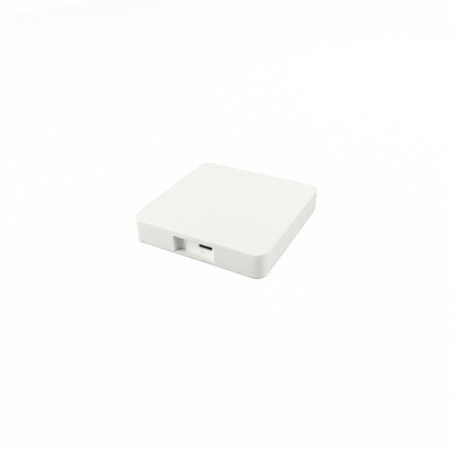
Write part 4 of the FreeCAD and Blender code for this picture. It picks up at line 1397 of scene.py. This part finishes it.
@dataclass
class Board(Assembly):
    """The circuit board and its screws."""

    corner: float = 1.8 * MM
    hole_radius: float = 1.15 * MM
    slot_gap: float = 0.2 * MM
    slot_corner: float = 0.347 * MM
    notch_width: float = 2.4 * MM
    notch_depth: float = 1.2 * MM
    notch_corner: float = 0.4 * MM
    tab_spacing: float = Housing.tab_spacing
    screw_edge: float = 0.45 * MM
    cross_length: float = 2.2 * MM
    cross_width: float = 0.5 * MM
    cross_depth: float = 0.7 * MM

    def plate(self) -> None:
        """The board itself, with rounded corners, screw holes, slots for the legs and notches."""
        board, cuts = self.layout.board, bmesh.new()
        low, high = board.low.z - EMBED, board.high.z + EMBED
        for screw in solids("board_screws"):
            drum(screw.middle, self.hole_radius, low, high, Sides.HOLE, shape=cuts)
        for slot in Socket(self.layout).legs(self.slot_gap, low, high):
            prism(*slot, Axis.Z, self.slot_corner, Flats.CORNER, cuts)
        for x in pair(self.tab_spacing):
            notch = around((x, board.high.y), (self.notch_width / 2, self.notch_depth), low, high)
            prism(*notch, Axis.Z, self.notch_corner, Flats.CORNER, cuts)
        plate = Solid(prism(*board, Axis.Z, self.corner, Flats.WIDE), "board_plate")
        plate.cut(cuts).dress("board_green", "main_board")

    def screws(self) -> None:
        """The screws: round heads with a domed edge and a cross recess, on plain shanks."""
        face, length, width = self.layout.board.high.z, self.cross_length / 2, self.cross_width / 2
        shape, recess = bmesh.new(), bmesh.new()
        for screw in solids("board_screws"):
            radius, low, high = screw.radius, screw.low.z, screw.high.z
            shank = [(0.0, low), (radius / 2, low), (radius / 2, face), (radius, face)]
            dome = upper_rim(radius, self.screw_edge, high)
            turned(shank + dome + [(0.0, high)], screw.middle, Sides.HOLE, shape)
            for half in ((length, width), (width, length)):
                block(recess, *around(screw.middle, half, high - self.cross_depth, high + EMBED))
        screws = Solid(shape, "board_screw_pair").cut(recess, overlapping=True)
        screws.dress("screw_steel", "board_screws")

    def build(self) -> None:
        """Build the board and its screws."""
        self.plate()
        self.screws()


@dataclass
class Electronics(Assembly):
    """The parts on the board, each built in the space that its own solids take up."""

    chip_edge: float = 0.1 * MM
    crystal_corner: float = 0.4 * MM
    dimple_radius: float = 0.32 * MM
    dimple_depth: float = 0.06 * MM
    dimple_inset: float = 0.16
    dimple_share: float = 0.45
    can_corner: float = 0.8 * MM
    can_edge: float = 0.22 * MM
    can_sheet: float = 0.2 * MM
    can_hole: float = 0.4 * MM
    can_hole_pitch: float = 2.4 * MM
    can_columns: tuple[int, ...] = (-2, -1, 0, 1, 2)
    can_rows: tuple[int, ...] = (-1, 1)
    leg_reach: float = 1.3 * MM
    leg_width: float = 0.42 * MM
    leg_pitch: float = 1.27 * MM
    leg_count: int = 4
    leg_thickness: float = 0.2 * MM
    cap_share: float = 0.22
    cap_proud: float = 0.015 * MM
    cap_edge: float = 0.0375 * MM
    coil_corner: float = 1.1 * MM
    coil_edge: float = 0.2 * MM
    tank_edge: float = 0.4 * MM
    tank_waist: float = 0.18 * MM
    tank_wall: tuple[tuple[int, int], ...] = ((1, 0), (0, 1), (0, 3), (1, 4), (1, 5), (0, 6))
    score_width: float = 0.12 * MM
    score_share: float = 0.7
    score_count: int = 3
    base_corner: float = 1.0 * MM
    pad_radius: float = 0.35 * MM
    pad_pitch: float = 1.5 * MM
    pad_count: int = 11
    aerial_line: float = 0.5 * MM
    aerial_pitch: float = 1.3 * MM
    aerial_inset: float = 1.2 * MM
    aerial_turns: int = 4
    foil: float = 0.035 * MM
    hollow_radius: float = 0.8 * MM
    hollow_rise: float = 0.35 * MM

    def chip(self, node: str, slot: str = "chip_black", corner: float = 0.0) -> None:
        """A moulded chip: a body with a softened top, and a dimple beside its first contact.

        Args:
            node: The node that it stands for, which may hold several.
            slot: Its material slot.
            corner: The radius of its upright edges.
        """
        shape, dimples = bmesh.new(), bmesh.new()
        for low, high in solids(node):
            cushion(low, high, self.chip_edge, corner=corner, shape=shape)
            inset = min(high.x - low.x, high.y - low.y) * self.dimple_inset
            drum(
                (low.x + inset, low.y + inset, 0), min(self.dimple_radius, inset * self.dimple_share),
                high.z - self.dimple_depth, high.z + EMBED, Sides.DIMPLE, shape=dimples)
        Solid(shape, node + "_body").cut(dimples).dress(slot, node)

    def can(self, node: str) -> None:
        """A drawn shield can, open below, with rounded edges and two rows of small holes in its top.

        Args:
            node: The node that it stands for.
        """
        (low, high), middle, sheet, pitch = space(node), space(node).middle, self.can_sheet, self.can_hole_pitch
        drawn = cushion(low, high, self.can_edge, Flats.RIM, self.can_corner, Flats.BEND)
        inner = prism(
            low + Vector((sheet, sheet, -sheet)), high - Vector((sheet, sheet, sheet)), Axis.Z,
            self.can_corner - sheet, Flats.BEND)
        holes = bmesh.new()
        for column in self.can_columns:
            for row in self.can_rows:
                place = (middle.x + column * pitch, middle.y + row * pitch, 0)
                drum(place, self.can_hole, high.z - 2 * sheet, high.z + EMBED, Sides.PIN, shape=holes)
        Solid(drawn, node + "_drawn").cut(inner).cut(holes).dress("steel", node)

    def flash(self) -> None:
        """The memory with legs: its moulded body, and its bent legs in tinned steel."""
        chip, reach, sheet, inset = space("flash_chip"), self.leg_reach, self.leg_thickness, 2 * self.dimple_radius
        (low, high), middle, legs = chip, chip.middle, bmesh.new()
        corners = (low.x + reach, low.y, low.z + sheet / 2), (high.x - reach, high.y, high.z)
        dimple = drum(
            (low.x + reach + inset, low.y + inset, 0), self.dimple_radius, high.z - self.dimple_depth,
            high.z + EMBED, Sides.DIMPLE)
        Solid(cushion(*corners, self.chip_edge), "flash_body").cut(dimple).dress("chip_black", "flash_chip")
        for x, out in ((high.x - reach, reach), (low.x + reach, -reach)):
            for index in range(self.leg_count):
                y = middle.y + (index - (self.leg_count - 1) / 2) * self.leg_pitch
                bent_leg(legs, (x, y, middle.z), out, low.z, sheet, self.leg_width)
        Solid(legs, "flash_legs").dress("steel", "flash_chip")

    def small_parts(self, node: str, slot: str) -> None:
        """The small two-ended parts: their bodies, and their metal ends a hair prouder.

        Args:
            node: The node that they stand for.
            slot: The material slot of their bodies.
        """
        bodies, ends = bmesh.new(), bmesh.new()
        for low, high in solids(node):
            along = 0 if high.x - low.x > high.y - low.y else 1
            cap = (high - low)[along] * self.cap_share
            inset = Vector((self.cap_proud, self.cap_proud, 0.0))
            inset[along] = cap / 2
            block(bodies, low + inset, high - inset - Vector((0, 0, self.cap_proud)))
            first, last = high.copy(), low.copy()
            first[along], last[along] = low[along] + cap, high[along] - cap
            for corners in ((low, first), (last, high)):
                round_edges(ends, block(ends, *corners), self.cap_edge, Flats.HAIR)
        Solid(bodies, node + "_bodies").dress(slot, node)
        Solid(ends, node + "_ends").dress("steel", node)

    def coil(self) -> None:
        """The power coil: a moulded block with cut corners."""
        shape = cushion(*space("power_inductor"), self.coil_edge, Flats.FINE, self.coil_corner, Flats.FINE)
        Solid(shape, "coil_block").dress("ferrite_grey", "power_inductor")

    def tanks(self) -> None:
        """The aluminium cans, each with a rolled waist and a scored top, and their moulded bases."""
        shape, scores, bases = bmesh.new(), bmesh.new(), bmesh.new()
        waist, score = self.tank_waist, self.score_width / 2
        for tank in solids("bulk_capacitors"):
            radius, low, high = tank.radius, tank.low.z, tank.high.z
            wall = [(radius - inset * waist, low + rise * waist) for inset, rise in self.tank_wall]
            profile = [(0.0, low)] + wall + upper_rim(radius, self.tank_edge, high) + [(0.0, high)]
            turned(profile, tank.middle, Sides.DISC, shape)
            groove = around(tank.middle, (radius * self.score_share, score), high - score, high + EMBED)
            for turn in range(self.score_count):
                bmesh.ops.rotate(
                    scores, cent=tank.middle, matrix=Matrix.Rotation(turn * math.pi / self.score_count, 3, "Z"),
                    verts=list({vert for edge in block(scores, *groove) for vert in edge.verts}))
        cans = Solid(shape, "capacitor_cans").cut(scores, overlapping=True)
        cans.dress("can_aluminium", "bulk_capacitors")
        for low, high in solids("bulk_capacitor_bases"):
            round_edges(bases, picked(block(bases, low, high), Axis.Z, y=high.y), self.base_corner, Flats.CUT)
        Solid(bases, "capacitor_bases").dress("insulator_black", "bulk_capacitor_bases")

    def module(self) -> None:
        """The radio module's own board with half-round plated notches, and its printed aerial."""
        (low, high), shape, notches = space("wifi_module_board"), bmesh.new(), bmesh.new()
        block(shape, low, high)
        for index in range(self.pad_count):
            for y in (low.y, high.y):
                place = (high.x - (index + 1) * self.pad_pitch, y, 0)
                drum(place, self.pad_radius, low.z - EMBED, high.z + EMBED, Sides.DIMPLE, shape=notches)
        Solid(shape, "module_plate").cut(notches).dress("module_board", "wifi_module_board")
        self.printed_aerial(low, high)

    def printed_aerial(self, low: Vector, high: Vector) -> None:
        """The aerial printed at the free end of the radio module's board: one line that runs to and fro.

        Args:
            low: The lowest corner of the board.
            high: Its highest corner.
        """
        near, far, line = low.y + self.aerial_inset, high.y - self.aerial_inset, self.aerial_line
        face, top, foil = high.z, high.z + self.foil, bmesh.new()
        for index in range(self.aerial_turns):
            left = low.x + self.aerial_inset + index * self.aerial_pitch - line / 2
            block(foil, (left, near, face), (left + line, far, top))
            if index + 1 < self.aerial_turns:
                start = far - line if index % 2 else near
                block(foil, (left, start, face), (left + line + self.aerial_pitch, start + line, top))
        aerial = Solid(bmesh.new(), "module_aerial").join(foil, overlapping=True)
        aerial.dress("gold_contact", "wifi_module_board")

    def lamp(self) -> None:
        """The status lamp: a white body with a hollow that holds its lens."""
        lamp, hollow = space("status_led"), bmesh.new()
        place = Matrix.Translation((lamp.middle.x, lamp.middle.y, lamp.high.z + self.hollow_rise))
        bmesh.ops.create_uvsphere(
            hollow, u_segments=Sides.HOLE, v_segments=Sides.HOLE // 2, radius=self.hollow_radius, matrix=place)
        Solid(cushion(*lamp, self.chip_edge), "lamp_body").cut(hollow).dress("lamp_white", "status_led")

    def build(self) -> None:
        """Build every part on the board."""
        for node in ("processor_chip", "memory_chip", "mesh_radio_chip", "regulator_chip"):
            self.chip(node)
        self.chip("crystals", "steel", self.crystal_corner)
        self.can("wifi_module_can")
        self.can("mesh_radio_can")
        self.flash()
        self.small_parts("chip_capacitors", "ceramic_tan")
        self.small_parts("chip_resistors", "resistor_black")
        self.coil()
        self.tanks()
        self.module()
        self.lamp()


@dataclass
class FoldedAerial(Assembly):
    """The stamped inverted-F aerial that stands on the board, with its arm folded over."""

    sheet: float = 0.3 * MM
    arm: float = 1.8 * MM
    leg_width: float = 1.2 * MM
    leg_overlap: float = 0.6 * MM
    feed_offset: float = 5.0 * MM
    bend: float = 0.5 * MM
    stamped_corner: float = 0.8 * MM

    def build(self) -> None:
        """Build the aerial: a bent arm, and its ground and feed legs."""
        (low, high), shape, legs = space("mesh_antenna"), bmesh.new(), bmesh.new()
        arm, inner, under = high.z - self.arm, high.x - self.sheet, high.z - self.sheet
        outline = [(high.x, arm), (high.x, high.z), (low.x, high.z), (low.x, under), (inner, under), (inner, arm)]
        extruded(shape, [Vector((x, low.y, z)) for x, z in outline], (0, high.y - low.y, 0))
        for x, z, radius in ((high.x, high.z, self.bend), (inner, under, self.bend - self.sheet)):
            round_edges(shape, picked(shape.edges, Axis.Y, x=x, z=z), radius, Flats.BEND)
        round_edges(shape, picked(shape.edges, Axis.Z, x=low.x), self.stamped_corner, Flats.BEND)
        for y in (low.y, low.y + self.feed_offset):
            block(legs, (inner, y, low.z), (high.x, y + self.leg_width, arm + self.leg_overlap))
        Solid(shape, "aerial").join(legs).dress("steel", "mesh_antenna")


def direction(azimuth: float, elevation: float) -> Vector:
    """The direction of a place from the object, from its angles in degrees."""
    turn, rise = math.radians(azimuth), math.radians(elevation)
    return Vector((math.sin(turn) * math.cos(rise), -math.cos(turn) * math.cos(rise), math.sin(rise)))


@dataclass(frozen=True)
class Lamp:
    """One soft lamp, aimed at the middle of the object."""

    name: str
    azimuth: float
    elevation: float
    power: float
    size: float = 0.4
    distance: float = 0.9

    def build(self, aim: Vector) -> None:
        """Hang the lamp where its angles say.

        Args:
            aim: The point that it shines at.
        """
        light = bpy.data.lights.new(self.name, "AREA")
        light.shape, light.size, light.energy = "DISK", self.size, self.power
        towards = direction(self.azimuth, self.elevation)
        lamp = bpy.data.objects.new(self.name, light)
        lamp.location = aim + towards * self.distance
        lamp.rotation_euler = towards.to_track_quat("Z", "Y").to_euler()
        bpy.context.scene.collection.objects.link(lamp)


@dataclass(frozen=True)
class Studio:
    """The white floor, the lamps, the world and the camera, whose distance and offset are in widths of the body."""

    aim: tuple[float, float, float] = (0.0, 0.0, 9.5 * MM)
    floor_half: float = 0.9
    floor_colour: tuple[float, float, float] = (0.45, 0.45, 0.445)
    floor_seen: float = 0.97
    floor_roughness: float = 0.3
    body_width: float = 90 * MM
    camera_azimuth: float = 29.4526
    camera_elevation: float = 33.1218
    camera_roll: float = -1.4217
    camera_distance: float = 3.3197
    camera_offset: tuple[float, float] = (0.025, 0.0964)
    focal_pixels: float = 458.81
    photo_pixels: int = 452
    sensor_width: float = 36.0
    clip_start: float = 0.01
    lamps: tuple[Lamp, ...] = (
        Lamp("key", 309.0, 24.0, 7.60),
        Lamp("right", 88.3, 22.0, 4.82),
        Lamp("back", 171.0, 43.0, 4.60),
        Lamp("front", 20.0, 15.0, 0.58),
    )

    def floor(self) -> None:
        """The floor: a white surface that the camera sees as the white of the background."""
        shape = bmesh.new()
        bmesh.ops.create_grid(shape, x_segments=1, y_segments=1, size=self.floor_half)
        floor = Solid(shape, "floor").piece
        paper = bpy.data.materials.new("paper")
        paper.use_nodes = True
        paper.cycles.emission_sampling = "NONE"
        graph = Graph(paper.node_tree)
        rays = graph.add("ShaderNodeLightPath")
        straight = graph.maths("MAXIMUM", rays.outputs["Is Camera Ray"], rays.outputs["Is Glossy Ray"])
        straight = graph.maths("MAXIMUM", straight, rays.outputs["Is Transmission Ray"])
        shade = graph.blend(straight, self.floor_colour, WHITE[:3])
        matt = graph.add("ShaderNodeBsdfDiffuse", Color=shade, Roughness=self.floor_roughness)
        white = graph.add("ShaderNodeEmission", Color=WHITE, Strength=1.0)
        mix = graph.add("ShaderNodeMixShader")
        seen = graph.maths("MULTIPLY", straight, self.floor_seen)
        for socket, value in zip(mix.inputs, (seen, matt.outputs[0], white.outputs[0])):
            graph.put(socket, value)
        graph.add("ShaderNodeOutputMaterial", Surface=mix.outputs[0])
        floor.data.materials.append(paper)

    def world(self) -> None:
        """The surroundings: white to the camera, and dark to the object, which only the lamps light."""
        world = bpy.data.worlds.new("surroundings")
        bpy.context.scene.world = world
        world.use_nodes = True
        graph = Graph(world.node_tree)
        rays = graph.add("ShaderNodeLightPath")
        straight = graph.maths("MAXIMUM", rays.outputs["Is Camera Ray"], rays.outputs["Is Transmission Ray"])
        background = graph.add("ShaderNodeBackground", Color=WHITE, Strength=straight)
        graph.add("ShaderNodeOutputWorld", Surface=background.outputs[0])

    def camera(self) -> None:
        """The camera, where the photograph was taken from."""
        turn, roll = math.radians(self.camera_azimuth), math.radians(self.camera_roll)
        back = direction(self.camera_azimuth, self.camera_elevation)
        level = Vector((math.cos(turn), math.sin(turn), 0))
        upright = back.cross(level)
        right = level * math.cos(roll) + upright * math.sin(roll)
        above = upright * math.cos(roll) - level * math.sin(roll)
        lens = bpy.data.cameras.new("camera")
        lens.sensor_width = self.sensor_width
        lens.lens = self.focal_pixels * self.sensor_width / self.photo_pixels
        lens.clip_start = self.clip_start
        camera = bpy.data.objects.new("camera", lens)
        matrix = Matrix((right, above, back)).transposed().to_4x4()
        across, rise = self.camera_offset
        offset = back * self.camera_distance - right * across - above * rise
        matrix.translation = Vector(self.aim) + offset * self.body_width
        camera.matrix_world = matrix
        bpy.context.scene.collection.objects.link(camera)
        bpy.context.scene.camera = camera

    def build(self) -> None:
        """Set up the whole studio."""
        bpy.context.scene.view_settings.view_transform = "Standard"
        self.floor()
        self.world()
        for lamp in self.lamps:
            lamp.build(Vector(self.aim))
        self.camera()


def main() -> None:
    """Build every sub-assembly in order, and then the studio."""
    logging.basicConfig(level=logging.INFO, format="%(name)s: %(message)s")
    layout = Layout()
    for kind in (Housing, Socket, Feet, ResetSwitch, LightGuide, Board, Electronics, FoldedAerial):
        kind(layout).build()
    Studio().build()


if __name__ == "__main__":
    main()
